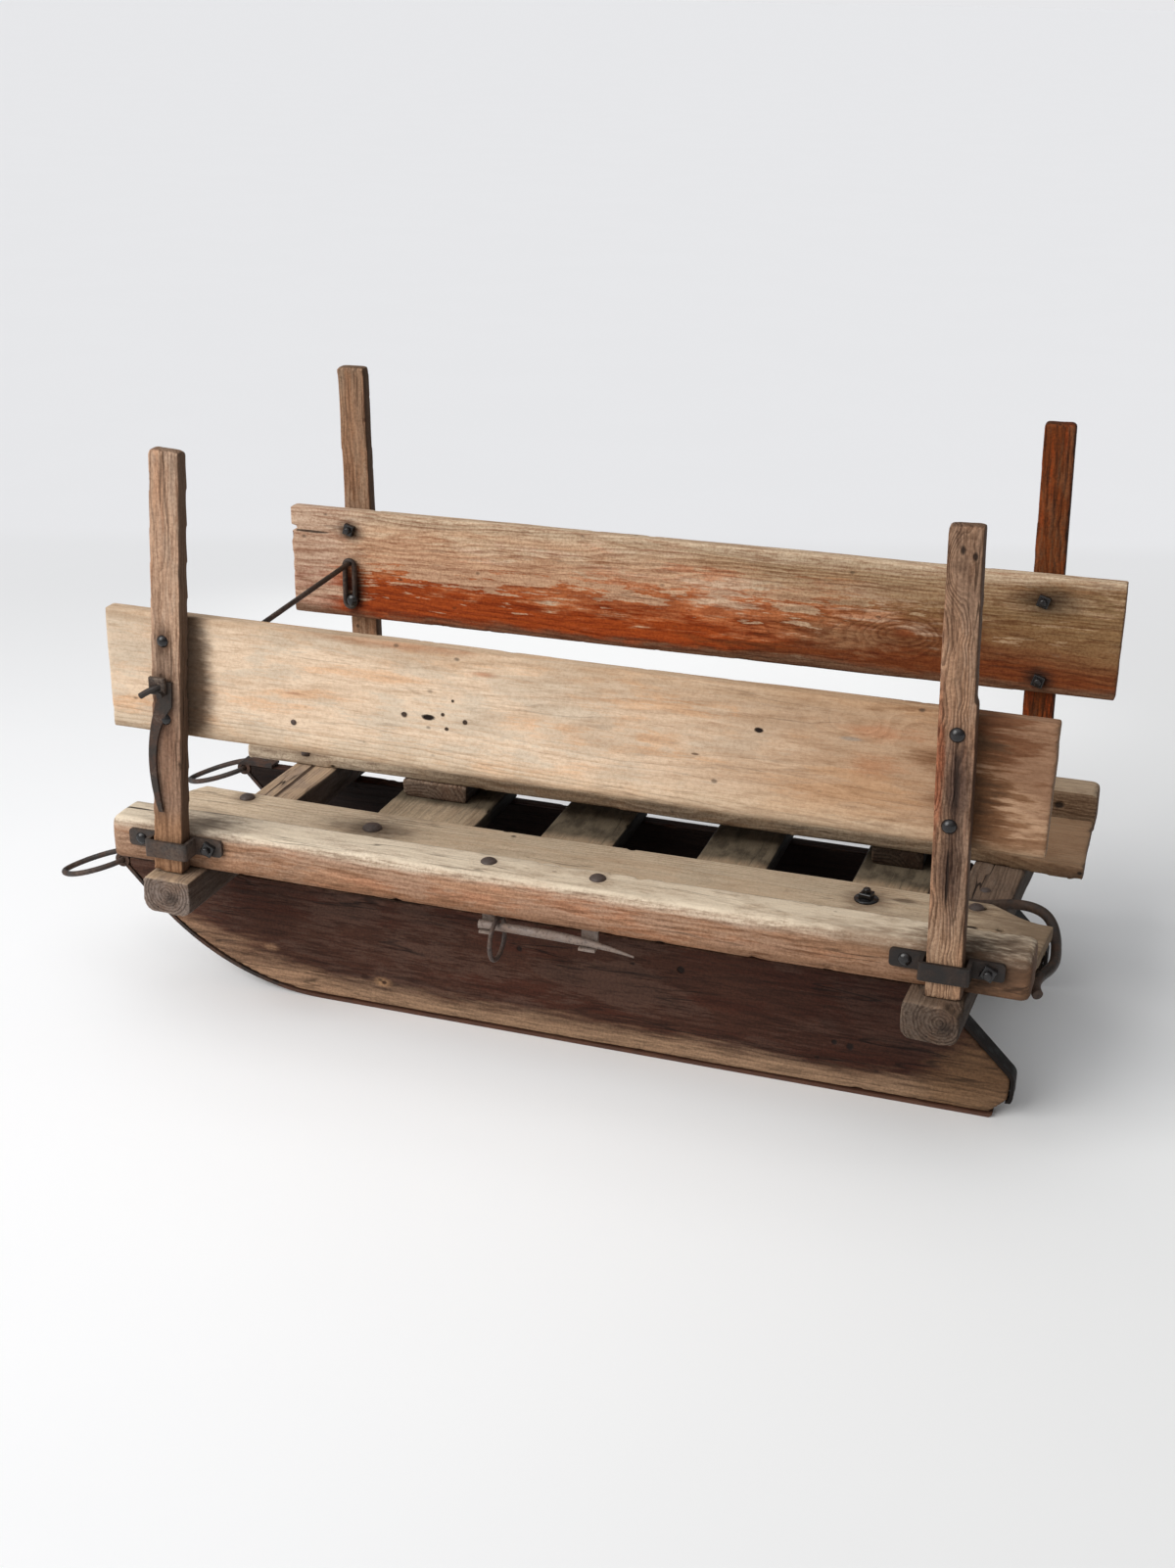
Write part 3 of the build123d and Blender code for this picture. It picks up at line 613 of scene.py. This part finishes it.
BEAM_TOP, BEAM_FACE = 230, 243    # mm above the floor, and from the sled's middle to the outer face
for side, y in SIDES:
    marks = [past((0, 0, -1), -200, -184, 14, (120, 84, 58), .6),
             # Darker toward the rear: its own colour, and painted shade of the light falling off toward the
             # back.
             past((-1, 0, 0), 0, 480, 160, (124, 88, 62), .55),
             past((0, 0, 1), 218, 228, 12, (196, 176, 150), .9),
             past((0, y, 1), 456, 468, 12, (232, 216, 194), .6),
             past((.02, 0, 1), 227, 235, 8, (236, 220, 198), .8),
             past((0, -y, 0), -198, -194, 3, (120, 98, 78), .8)]
    marks += [patch((x, BEAM_FACE * y, 207), (22, 6, 12), (92, 66, 50), .65, soft=.9)
              for x in (459, 377, -378, -459)]
    if side == "right":
        marks += [past((-1, 0, 0), 350, 450, 60, (120, 96, 74), .8),
                  patch((-479, -193, 212), (8, 4, 6), (26, 18, 14), deep=2)]
    else:
        marks += [patch((-482, 232, 208), (110, 64, 80), (86, 64, 48), .85, soft=.85, ragged=1.5, deep=.05),
                  patch((-430, 238, 220), (74, 44, 54), (38, 27, 20), .9, soft=.9, ragged=1, deep=.05),
                  patch((-352, 238, 222), (120, 34, 26), (112, 84, 62), .65, soft=.95, ragged=1.2, deep=.05),
                  # A stain at the front stake's foot, with painted shadow of the stake.
                  patch((394, 226, 224), (80, 40, 40), (66, 48, 36), .75, soft=.95, ragged=1.2, deep=.05),
                  patch((485, 213, BEAM_TOP), (30, 2.4, 6), (46, 33, 25), soft=.5, ragged=.4, deep=3)]
    wear_down("beam_" + side, "X", voxel=2.8, hollow=1.1, chip=3.0, chip_width=8, rounds=4)
    old_wood("beam_" + side, "X", (186, 144, 114), (118, 80, 56), (172, 144, 122), (180, 122, 90),
             pith=(-20 * y, -38), pitch=3.8, taper=.012, rings=.5, fibres=.65, greyed=.6,
             dust=(224, 208, 184, .7) if side == "left" else (184, 162, 136, .5), marks=marks, relief=1.1)


# Planks
# The inner, thinner part of each rail, of grey-brown wood. The left one has a corner worn away by the
# pull rod and two old empty bolt holes; the right one's inner edge is darker.

PLANK_TOP = 199    # mm above the floor
PLANK_WOOD = {"left": ((211, 189, 161), (148, 121, 94), (200, 184, 160), (196, 160, 124)),
              "right": ((164, 142, 116), (98, 74, 54), (148, 132, 112), (140, 106, 78))}
for side, y in SIDES:
    marks = [past((-1, 0, 0), 100, 520, 200, (150, 126, 100), .4),
             # Painted light: the front part is lighter, where the stake and the side board throw shade.
             past((1, 0, 0), 180, 340, 120, (232, 213, 188), .5),
             patch((-483, 80 * y, PLANK_TOP), 9, (40, 30, 24), .7),
             patch((-313, 102 * y, PLANK_TOP), 40, (84, 60, 44), .7, soft=.95, ragged=.9, deep=.05),
             patch((-352, 92 * y, PLANK_TOP), (22, 9, 9), (70, 52, 40), .7, soft=.8, ragged=1.2, deep=.1),
             patch((246, 112 * y, PLANK_TOP), (80, 44, 16), (62, 46, 34), .8, soft=.95, ragged=.8, deep=.05),
             patch((418, 79 * y, PLANK_TOP), 26, (80, 60, 46), .6, soft=.9, deep=.05),
             patch((-425, 84 * y, PLANK_TOP), 28, (70, 52, 38), .7, soft=.95, deep=.05)]
    if side == "right":
        marks += [patch((-500, -125, PLANK_TOP), (150, 130, 20), (132, 98, 72), .6, soft=.9, ragged=.9,
                        deep=.05),
                  patch((-440, -192, PLANK_TOP), (160, 3, 8), (24, 17, 12), ragged=.2, deep=1),
                  past((-1, 0, 0), 330, 450, 80, (112, 86, 62), .8),
                  past((0, 1, 0), -62, -56, 6, (96, 76, 60), .8)]
    else:
        marks += [patch((-455, 184, PLANK_TOP), (120, 60, 20), (70, 52, 38), .8, soft=.95, ragged=1,
                        deep=.05),
                  patch((-490, 120, PLANK_TOP), (110, 110, 20), (108, 86, 65), .75, soft=.95, ragged=1,
                        deep=.05),
                  patch((-426, 131, PLANK_TOP), (9, 5, 5), (34, 24, 18), ragged=1, deep=2)]
    wear_down("plank_" + side, "X", voxel=2.6, chip=3.0, chip_width=9)
    old_wood("plank_" + side, "X", *PLANK_WOOD[side], pith=(10 * y, -52), pitch=4.0, wander=34, taper=.014,
             rings=.4, fibres=.5, greyed=.6, specks=1, checks=.4, dust=(*PLANK_WOOD[side][0], .5),
             marks=marks, relief=1.1)


# Staples and their bolts
# Bands of strap iron bent round the stakes' feet, with flat ears bolted to the beam. A round-headed
# bolt holds each front ear, and the nut of one put in from inside shows on each rear ear.

staple_iron = iron("staple_iron", (60, 52, 47), (86, 62, 47), (112, 100, 90), rusted=.5, rubbed=.35)
# The rear staples take a darker copy of the staple iron, partly as painted shade.
shaded_rear_staple = iron("shaded_rear_staple", (28, 22, 19), (52, 36, 27), (74, 65, 58), rusted=.45, rubbed=.25)
clad(staple_iron, "staple_front_left", "staple_front_right")
clad(shaded_rear_staple, "staple_rear_left", "staple_rear_right")
bolt_iron = iron("bolt_iron", (15, 14, 15), (40, 30, 25), (66, 66, 70), rusted=.35, rubbed=.15, bumps=.15,
                 shine=.3, gloss=.5)
brown_iron = iron("brown_iron", (72, 60, 55), (86, 62, 48), (122, 110, 104), rusted=.5, rubbed=.4, bumps=.3)


def placed(name, data):
    """A new object in the scene."""
    made = bpy.data.objects.new(name, data)
    bpy.context.collection.objects.link(made)
    return made


def lathed(name, rows, spot_, way, turn=0.0, body="sled", finish=None, crisp=False):
    """A turned or cut fitting. Each row is a ring across way: its radius and height in mm, and how many
    sides it has, where it isn't round."""
    shape = bmesh.new()
    last = None
    for radius, high, *sides in rows:
        count = sides[0] if sides else 28
        if last is not None and len(last) != count:
            shape.faces.new(last)
            last = None
        corners = [turn + math.tau * i / count for i in range(count)]
        ring = [shape.verts.new((radius / 1000 * math.cos(a), radius / 1000 * math.sin(a), high / 1000))
                for a in corners]
        if last is None:
            shape.faces.new(list(reversed(ring)))
        else:
            for i in range(count):
                shape.faces.new((last[i], last[(i + 1) % count], ring[(i + 1) % count], ring[i]))
        last = ring
    shape.faces.new(last)
    mesh = bpy.data.meshes.new(name)
    shape.to_mesh(mesh)
    shape.free()
    for face in mesh.polygons:
        face.use_smooth = not crisp
    piece = placed(name, mesh)
    turned = Vector(way).to_track_quat("Z", "Y").to_matrix().to_4x4()
    piece.matrix_world = Matrix.Translation(at(*spot_)) @ turned
    mesh.materials.append(finish or bolt_iron)
    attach(piece, body)
    return piece


def filed(piece, width):
    """Takes the sharp edges off a cut piece."""
    soft = piece.modifiers.new("filed edges", "BEVEL")
    soft.width, soft.segments, soft.limit_method = width / 1000, 2, "ANGLE"


# Outlines of round and flatter bolt heads, of a square nut on its bolt, and of a nail head.
ROUND = ((7.7, -4), (7.7, .6), (7.4, 2.0), (6.5, 3.6), (5.1, 4.9), (3.2, 5.9), (1.4, 6.3), (.3, 6.35))
DOME = ((8.6, -4), (8.6, .5), (8.3, 1.4), (7.4, 2.5), (5.8, 3.6), (3.8, 4.4), (1.8, 4.8), (.3, 4.9))
NUT = ((9.4, -3, 4), (9.4, 5.6, 4), (8.6, 6.6, 4), (4.2, 6.0, 20), (4.2, 10.0, 20), (3.4, 11.0, 20),
       (.4, 11.3, 20))
NAIL = ((3.2, -3), (3.2, .3), (2.6, .9), (1.2, 1.2), (.2, 1.25))


def carriage_bolt(name, spot_, way, size, body="sled", finish=None, head=DOME):
    lathed(name, [(r * size, h * size) for r, h in head], spot_, way, body=body, finish=finish)


def square_nut(name, spot_, way, turn, body="sled"):
    filed(lathed(name, NUT, spot_, way, turn=turn, body=body, crisp=True), .6)


EAR_FACE, EAR_HEIGHT = 246.5, 211    # mm from the sled's middle, and above the floor
for end, ahead, behind in (("front", 459, 377), ("rear", -378, -459)):
    for side, y in SIDES:
        shift = 0 if side == "left" else (-7 if end == "front" else -23.5)
        carriage_bolt("staple_bolt_%s_%s" % (end, side), (ahead + shift, EAR_FACE * y, EAR_HEIGHT),
                      (0, y, 0), size=.8)
        square_nut("staple_nut_%s_%s" % (end, side), (behind + shift, EAR_FACE * y, EAR_HEIGHT),
                   (0, y, 0), turn=.35)

# The bolts that come up through the planks, the beams and the rear bolster, sunk a little in the wood.
UP = (0, 0, 1)
for side, y in SIDES:
    for where, x, out_, sunk, size in (("front", 418, 80, .6, 1.05), ("riser", 246, 111, .6, 1.3),
                                       ("rear", -425, 83, .8, .95)):
        carriage_bolt("rail_bolt_%s_%s" % (where, side), (x, out_ * y, PLANK_TOP - sunk), UP, size=size,
                      finish=brown_iron)
    lathed("rail_washer_" + side, ((13, -2), (13, 1.4), (12.4, 1.9), (5, 1.9)),
           (-313, 102 * y, PLANK_TOP - .5), UP)
    square_nut("rail_nut_" + side, (-313, 102 * y, PLANK_TOP + 1.5), UP, turn=.6)
    for number, x in enumerate((67, -53)):
        carriage_bolt("beam_bolt_%s_%d" % (side, number), (x, 212 * y, BEAM_TOP - 1.2), UP, size=1.05,
                      finish=brown_iron)
carriage_bolt("bolster_bolt_rear", (-424, 0, 180.5), UP, size=.7, finish=brown_iron)


# Spike, its ring and brackets
# A blunt forged iron pin carried under the left beam by two bent straps, with a loose ring for the
# rope. The bar is brown with rust.

spike_iron = iron("spike_iron", (124, 110, 102), (122, 98, 82), (150, 140, 132), rusted=.5, rubbed=.35)
clad(spike_iron, "spike", "spike_bracket_front", "spike_bracket_rear")
clad(brown_iron, "spike_ring")


# Rear pull rod
# Round bar hooked under the beam and bent round the plank's worn corner: the sled was pulled back
# by it.

rod_iron = iron("rod_iron", (38, 29, 23), (74, 52, 38), (92, 80, 70), rusted=.65, rubbed=.2)
clad(rod_iron, "rear_pull_rod")


# Stakes
# Four uprights, dropped into the staples. Each came from another stick of wood, so each has its own
# colour; all have round-headed bolts, with dark stains under them.

STAKE_FACE = 263    # mm from the sled's middle
STAKES = {
    # name: lean, light, dark, grey, warm, pith, rings, wander
    "front_left": (-.0629, (198, 163, 136), (130, 98, 76), (178, 154, 134), (190, 140, 106),
                   (8, 30), .45, 22),
    "front_right": (.0262, (168, 134, 107), (106, 76, 56), (156, 134, 112), (164, 116, 82),
                    (-14, 40), .5, 26),
    "rear_left": (.0332, (178, 140, 111), (102, 71, 52), (150, 126, 108), (190, 132, 96),
                  (30, 24), .8, 26),
    "rear_right": (.0244, (124, 60, 22), (54, 30, 14), (108, 78, 50), (152, 60, 18),
                   (10, 40), .6, 26),
}
for corner, (lean, light, dark, grey, warm, pith, rings, wander) in STAKES.items():
    piece = "stake_" + corner
    wear_down(piece, "Z", voxel=2.4, chip=2.5, chip_width=6, rounds=4, lean=lean)
    y = STAKE_FACE if "left" in corner else -STAKE_FACE
    marks = []
    if corner == "front_left":
        marks = [patch((407, y, 448), (14, 20, 30), (84, 58, 42), .75, soft=.8),
                 patch((411, y, 372), (14, 20, 46), (78, 54, 40), .8, soft=.8),
                 patch((406, y, 375), (26, 20, 84), (84, 62, 51), .75, soft=.85),
                 past((0, 0, -1), -450, -300, 80, (120, 91, 75), .62),
                 past((0, 0, -1), -268, -232, 30, (164, 122, 88), .75)]
    if corner == "rear_left":
        marks = [patch((-414, y, 406), (25, 20, 84), (70, 52, 46), .85, soft=.85),
                 patch((-411, y, 318), (25, 20, 84), (66, 48, 41), .85, soft=.95),
                 patch((-414, y, 408), (4, 8, 52), (44, 33, 28), .8, soft=.9, ragged=1.1, deep=2),
                 patch((-410, y, 310), (1.6, 8, 36), (34, 24, 18), ragged=.9, deep=2),
                 patch((-409, y, 627), (3, 30, 6), (40, 30, 24), deep=1),
                 patch((-405, y, 612), (10, 30, 7), (74, 54, 42), .7, knot=10),
                 patch((-420, y, 622), (3, 30, 5), (40, 30, 24), deep=1),
                 patch((-397, y, 420), (7, 20, 100), (156, 84, 52), .7, soft=.8, ragged=.9),
                 past((0, 0, 1), 500, 600, 120, (140, 110, 88), .6),
                 past((0, 0, -1), -300, -230, 60, (176, 146, 118), .5)]
    if corner == "rear_right":
        marks = [past((0, 0, -1), -300, -240, 60, (38, 27, 17), .85)]
    old_wood(piece, "Z", light, dark, grey, warm, lean=lean, pith=pith, pitch=2.9, wander=wander, rings=rings,
             curl=16 if corner == "rear_left" else 6, greyed=.55, warmed=.55, marks=marks,
             edge=(min(light[0] + 26, 255), light[1] + 12, light[2] + 8, .5), relief=1.5,
             # Painted shade on the faces that face back.
             back_shade=(*[v * .6 for v in dark], .8))

# Where the stakes are bolted to the boards. Low on the front right the tie rod's eye takes that place.
BOLTED = {("left", "front"): ((406, 448), (409, 362)), ("left", "rear"): ((-411, 454), (-411, 363)),
          ("right", "front"): ((420, 441),), ("right", "rear"): ((-435, 442), (-438, 348))}
for (side, end), places in BOLTED.items():
    y = 1 if side == "left" else -1
    for (x, z), which in zip(places, ("top", "low")):
        carriage_bolt("stake_bolt_%s_%s_%s" % (end, side, which), (x, (STAKE_FACE - 1.5) * y, z), (0, y, 0),
                      body="side_racks", size=.88 if end == "front" else 1.0, head=ROUND)


# Side boards
# Thin wide boards on the inside of the stakes. The left one is bleached and full of old nail
# holes; the right one keeps orange-red paint in its lower half, and black stains round the nuts.

face = 244    # mm from the sled's middle to the left board's outer face
board_holes = [patch((x, face + .5, z), (r, 6, r), (46, 30, 22), .95, soft=.5, ragged=.9, deep=2.5)
               for x, z, r in ((145, 395, 3.6), (103, 400, 2.8), (99, 385, 2.4), (79, 395, 3), (92, 416, 2))]
board_holes += [patch((x, face + .5, z), (wide, 6, tall), (30, 20, 15), 1, soft=.4, ragged=.8, deep=3)
                for x, z, wide, tall in ((119, 395, 8.5, 3.2), (-222, 427, 5.5, 3.4))]
wear_down("side_board_left", "X", voxel=2.5, hollow=.9, chip=2.0)
old_wood("side_board_left", "X", (230, 205, 178), (180, 148, 118), (206, 190, 169), (222, 174, 132),
         pith=(-46, 12), pitch=5.6, wander=46, taper=.03, rings=.3, fibres=.45, greyed=.7, warmed=.6,
         checks=.2, specks=.7, ends=.7, gritty=.28,
         # Darker toward the rear: its own colour, and painted shade of the light falling off toward the back.
         marks=[past((-1, 0, 0), -60, 400, 200, (160, 120, 84), .75),
                past((0, 0, 1), 440, 475, 50, (176, 144, 112), .5),
                patch((268, face, 402), (16, 4, 3), (150, 84, 46), .4, soft=.9),
                patch((60, face, 448), (22, 4, 4), (170, 104, 62), .6, soft=.9),
                patch((-316, face, 446), (16, 9, 8), (150, 120, 92), .4, soft=.9, knot=9),
                patch((-340, face, 440), (50, 9, 12), (176, 104, 60), .4, soft=.95, ragged=1.6),
                patch((-335, face, 405), (40, 9, 16), (184, 116, 70), .4, soft=.95, ragged=1.6),
                patch((-160, face, 394), (5, 9, 1.6), (90, 64, 46), .8),
                patch((150, face, 468), (130, 9, 7), (168, 108, 68), .5, soft=.9, ragged=1.1),
                past((0, 0, -1), -372, -340, 30, (214, 192, 164), .5),
                # Painted shadow of the front stake.
                patch((389, face, 405), (37, 9, 150), (62, 42, 27), ragged=.4),
                past((-1, 0, 0), 415, 436, 16, (124, 88, 62), .8),
                # Darker by the rear stake: its own colour, with painted shadow of the stake.
                patch((-434, face, 405), (40, 9, 150), (56, 36, 22), .8, soft=.65, ragged=.6),
                past((-1, 0, 0), 330, 480, 420, (118, 80, 52), .75),
                past((-1, 0, 0), 440, 490, 240, (196, 162, 132), .7),
                past((-.5, 0, .5), 428, 446, 70, (100, 58, 36), .5),
                past((0, 0, -1), -350, -334, 16, (148, 122, 96), .7),
                patch((-310, face, 430), (14, 4, 3), (150, 142, 132), .6)] + board_holes)

face = -224    # the right board's inner face
wear_down("side_board_right", "X", voxel=2.5, chip=2.5, rise=-.0066)
old_wood("side_board_right", "X", (224, 194, 166), (150, 98, 64), (212, 192, 164), (206, 136, 92),
         rise=-.0066, pith=(44, -14), pitch=4.6, wander=44, taper=.018, rings=.5, fibres=.6, greyed=.7,
         warmed=.7, checks=.3, ends=.7,
         marks=[past((0, 0, -1), -442, -420, 250, (208, 142, 100), .75),
                past((0, 0, -1), -424, -404, 230, (190, 102, 48), .75),
                past((-1, 0, 0), -20, 440, 260, (130, 88, 54), .5),
                past((.03, 0, -1), -388, -368, 110, (164, 68, 14), .9),
                past((-.3, 0, -1), -364, -306, 170, (92, 58, 32), .7),
                patch((-215, face, 374), (90, 12, 28), (170, 132, 98), .65, soft=1, ragged=1.6),
                past((.05, 0, 1), 410, 424, 300, (222, 194, 162), .7),
                past((-.16, 0, 1), 425, 480, 60, (150, 124, 86), .6),
                past((0, 0, 1), 448, 468, 30, (206, 186, 160), .8),
                past((1, 0, .4), 560, 620, 70, (204, 176, 154), .75),
                patch((474, face, 436.5), (30, 12, 1.8), (50, 36, 28), soft=.5, ragged=.5, deep=3),
                past((0, 0, -1), -346, -334, 24, (112, 86, 66), .85),
                patch((-282, face, 385), (22, 12, 9), (150, 76, 38), .5, soft=.9, knot=18),
                patch((420, face, 441), (26, 12, 20), (44, 34, 28), .8, soft=.8),
                patch((414, face, 366), (22, 12, 48), (40, 31, 26), .9, soft=.85),
                patch((-440, face, 440), (60, 12, 28), (46, 31, 21), .85, soft=.95),
                patch((-438, face, 348), (26, 12, 18), (40, 31, 26), .85, soft=.8)])

for (side, end), places in BOLTED.items():
    y = 1 if side == "left" else -1
    for (x, z), which in zip(places, ("top", "low")):
        square_nut("board_nut_%s_%s_%s" % (end, side, which), (x, 225.5 * y, z), (0, -y, 0),
                   body="side_racks", turn=.9 if side == "left" else .5)
lathed("board_nail_left", NAIL, (270, 243.8, 370), (0, 1, 0), body="side_racks", finish=brown_iron)
carriage_bolt("tie_rod_bolt", (416.3, -219, 351), (0, 1, 0), body="side_racks", size=.9)


# Tie rod and key
# Round bar from the right board's eye through a slot in the front left stake and a square plate. A
# flat bent key holds it there, and its thin tip hangs out.

clad(ring_iron, "tie_rod")
key_iron = iron("key_iron", (48, 40, 34), (84, 54, 38), (128, 116, 104), rusted=.5, rubbed=.45)
clad(key_iron, "tie_rod_key")
plate = lathed("tie_rod_plate", ((13.4, -.2, 4), (13.4, 3.8, 4), (12.2, 5, 4)), (412, 267, 400.5), (0, 1, 0),
               turn=math.pi / 4, body="side_racks", finish=key_iron, crisp=True)
filed(plate, 1)
path = [at(*p) for p in ((409, 270, 400), (412, 273, 399.3), (418, 275, 396.5), (424, 275.4, 393),
                         (429, 275.8, 389.5))]
bend = bpy.data.curves.new("tie_rod_tip", "CURVE")
bend.dimensions, bend.bevel_depth, bend.bevel_resolution, bend.use_fill_caps = "3D", .0034, 4, True
line = bend.splines.new("NURBS")
line.points.add(len(path) - 1)
for point, p in zip(line.points, path):
    point.co = (*p, 1)
line.use_endpoint_u, line.order_u, line.resolution_u = True, 3, 5
bend.materials.append(ring_iron)
tip = placed("tie_rod_tip", bend)
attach(tip, "side_racks")


# Floor, light and camera
# A pale floor that runs back out of sight, a large soft light from the front left with a weaker one
# from above, and soft light from all round.

floor_mesh = bpy.data.meshes.new("floor")
shape = bmesh.new()
bmesh.ops.create_grid(shape, x_segments=1, y_segments=1, size=60)
shape.to_mesh(floor_mesh)
shape.free()
floor = placed("floor", floor_mesh)
pale = bpy.data.materials.new("pale_floor")
pale.use_nodes = True
tree = pale.node_tree
place = tree.nodes.new("ShaderNodeTexCoord").outputs["Object"]
away = vectors(tree, "DOT_PRODUCT", place, (.31, -.95, 0))
aside = vectors(tree, "DOT_PRODUCT", place, (1, 0, 0))
distance = vectors(tree, "LENGTH", place)
far = tone(229, 229, 231)
# Painted light and shade: the floor is brighter toward the front left and darker far away.
colour = blend(tree, between(tree, aside, -.9, .4), tone(229, 229, 229), tone(251, 251, 252))
colour = blend(tree, between(tree, away, -.1, 1.8, 0, .8), colour, tone(216, 216, 217))
colour = blend(tree, between(tree, away, 1.78, 1.95), colour, far)
colour = blend(tree, between(tree, distance, 1.3, 3), colour, far)
# Painted light: the floor is brighter in a long patch behind the sled.
behind = vectors(tree, "DIVIDE", vectors(tree, "SUBTRACT", place, (.3, -1.05, 0)), (.98, .5, 1))
behind = vectors(tree, "LENGTH", behind)
colour = blend(tree, between(tree, behind, .4, 1, .85, 0), colour, tone(250, 250, 250))
uneven = mottle(tree, place, (3, 3, 3), 3)
colour = blend(tree, between(tree, uneven, .3, .7, 0, .02), colour, tone(200, 200, 200))
feed(tree, tree.nodes["Principled BSDF"].inputs["Base Color"], colour)
tree.nodes["Principled BSDF"].inputs["Roughness"].default_value = 1
tree.nodes["Principled BSDF"].inputs["Specular IOR Level"].default_value = 0
floor_mesh.materials.append(pale)

sky = bpy.data.worlds.new("soft light all round")
bpy.context.scene.world = sky
sky.use_nodes = True
tree = sky.node_tree
ray = tree.nodes.new("ShaderNodeLightPath")
seen = ray.outputs["Is Camera Ray"]
look = tree.nodes.new("ShaderNodeTexCoord").outputs["Generated"]
toward = vectors(tree, "DOT_PRODUCT", look, (.75, .35, .5))
soft = between(tree, toward, -.9, .9, .12, .48)
back = tree.nodes["Background"]
feed(tree, back.inputs["Color"], blend(tree, seen, (.96, .98, 1, 1), tone(231, 231, 233)))
seen_more = times(tree, seen, sums(tree, "SUBTRACT", 1, soft))
feed(tree, back.inputs["Strength"], plus(tree, soft, seen_more))

# Each light's strength, how wide it spreads in radians, where it shines from, and its colour.
for name, strength, spread, way, warmth in (("main light", 2.25, .75, (1.0, 1.2, 1.05), (1, .99, .97)),
                                            ("top light", .85, 1.3, (.1, .2, 1), (.98, .99, 1))):
    lamp = bpy.data.lights.new(name, "SUN")
    lamp.energy, lamp.angle, lamp.color = strength, spread, warmth
    placed(name, lamp).rotation_euler = Vector(way).to_track_quat("Z", "Y").to_euler()

YAW, PITCH, ROLL = .316, .393, -.014    # radians: toward the front, down, and tipped
ahead = Vector((math.sin(YAW) * math.cos(PITCH), -math.cos(YAW) * math.cos(PITCH), -math.sin(PITCH)))
level = ahead.cross(Vector((0, 0, 1))).normalized()
below = ahead.cross(level)
right = math.cos(ROLL) * level + math.sin(ROLL) * below
down = -math.sin(ROLL) * level + math.cos(ROLL) * below
lens = bpy.data.cameras.new("camera")
lens.sensor_fit, lens.sensor_width, lens.lens = "AUTO", 36, 45.65
camera = placed("camera", lens)
pose = Matrix((right, -down, -ahead)).transposed().to_4x4()
pose.translation = at(-617.3, 1976.4, 1102.5)
camera.matrix_world = pose
bpy.context.scene.camera = camera

bpy.context.scene.view_settings.view_transform = "Standard"
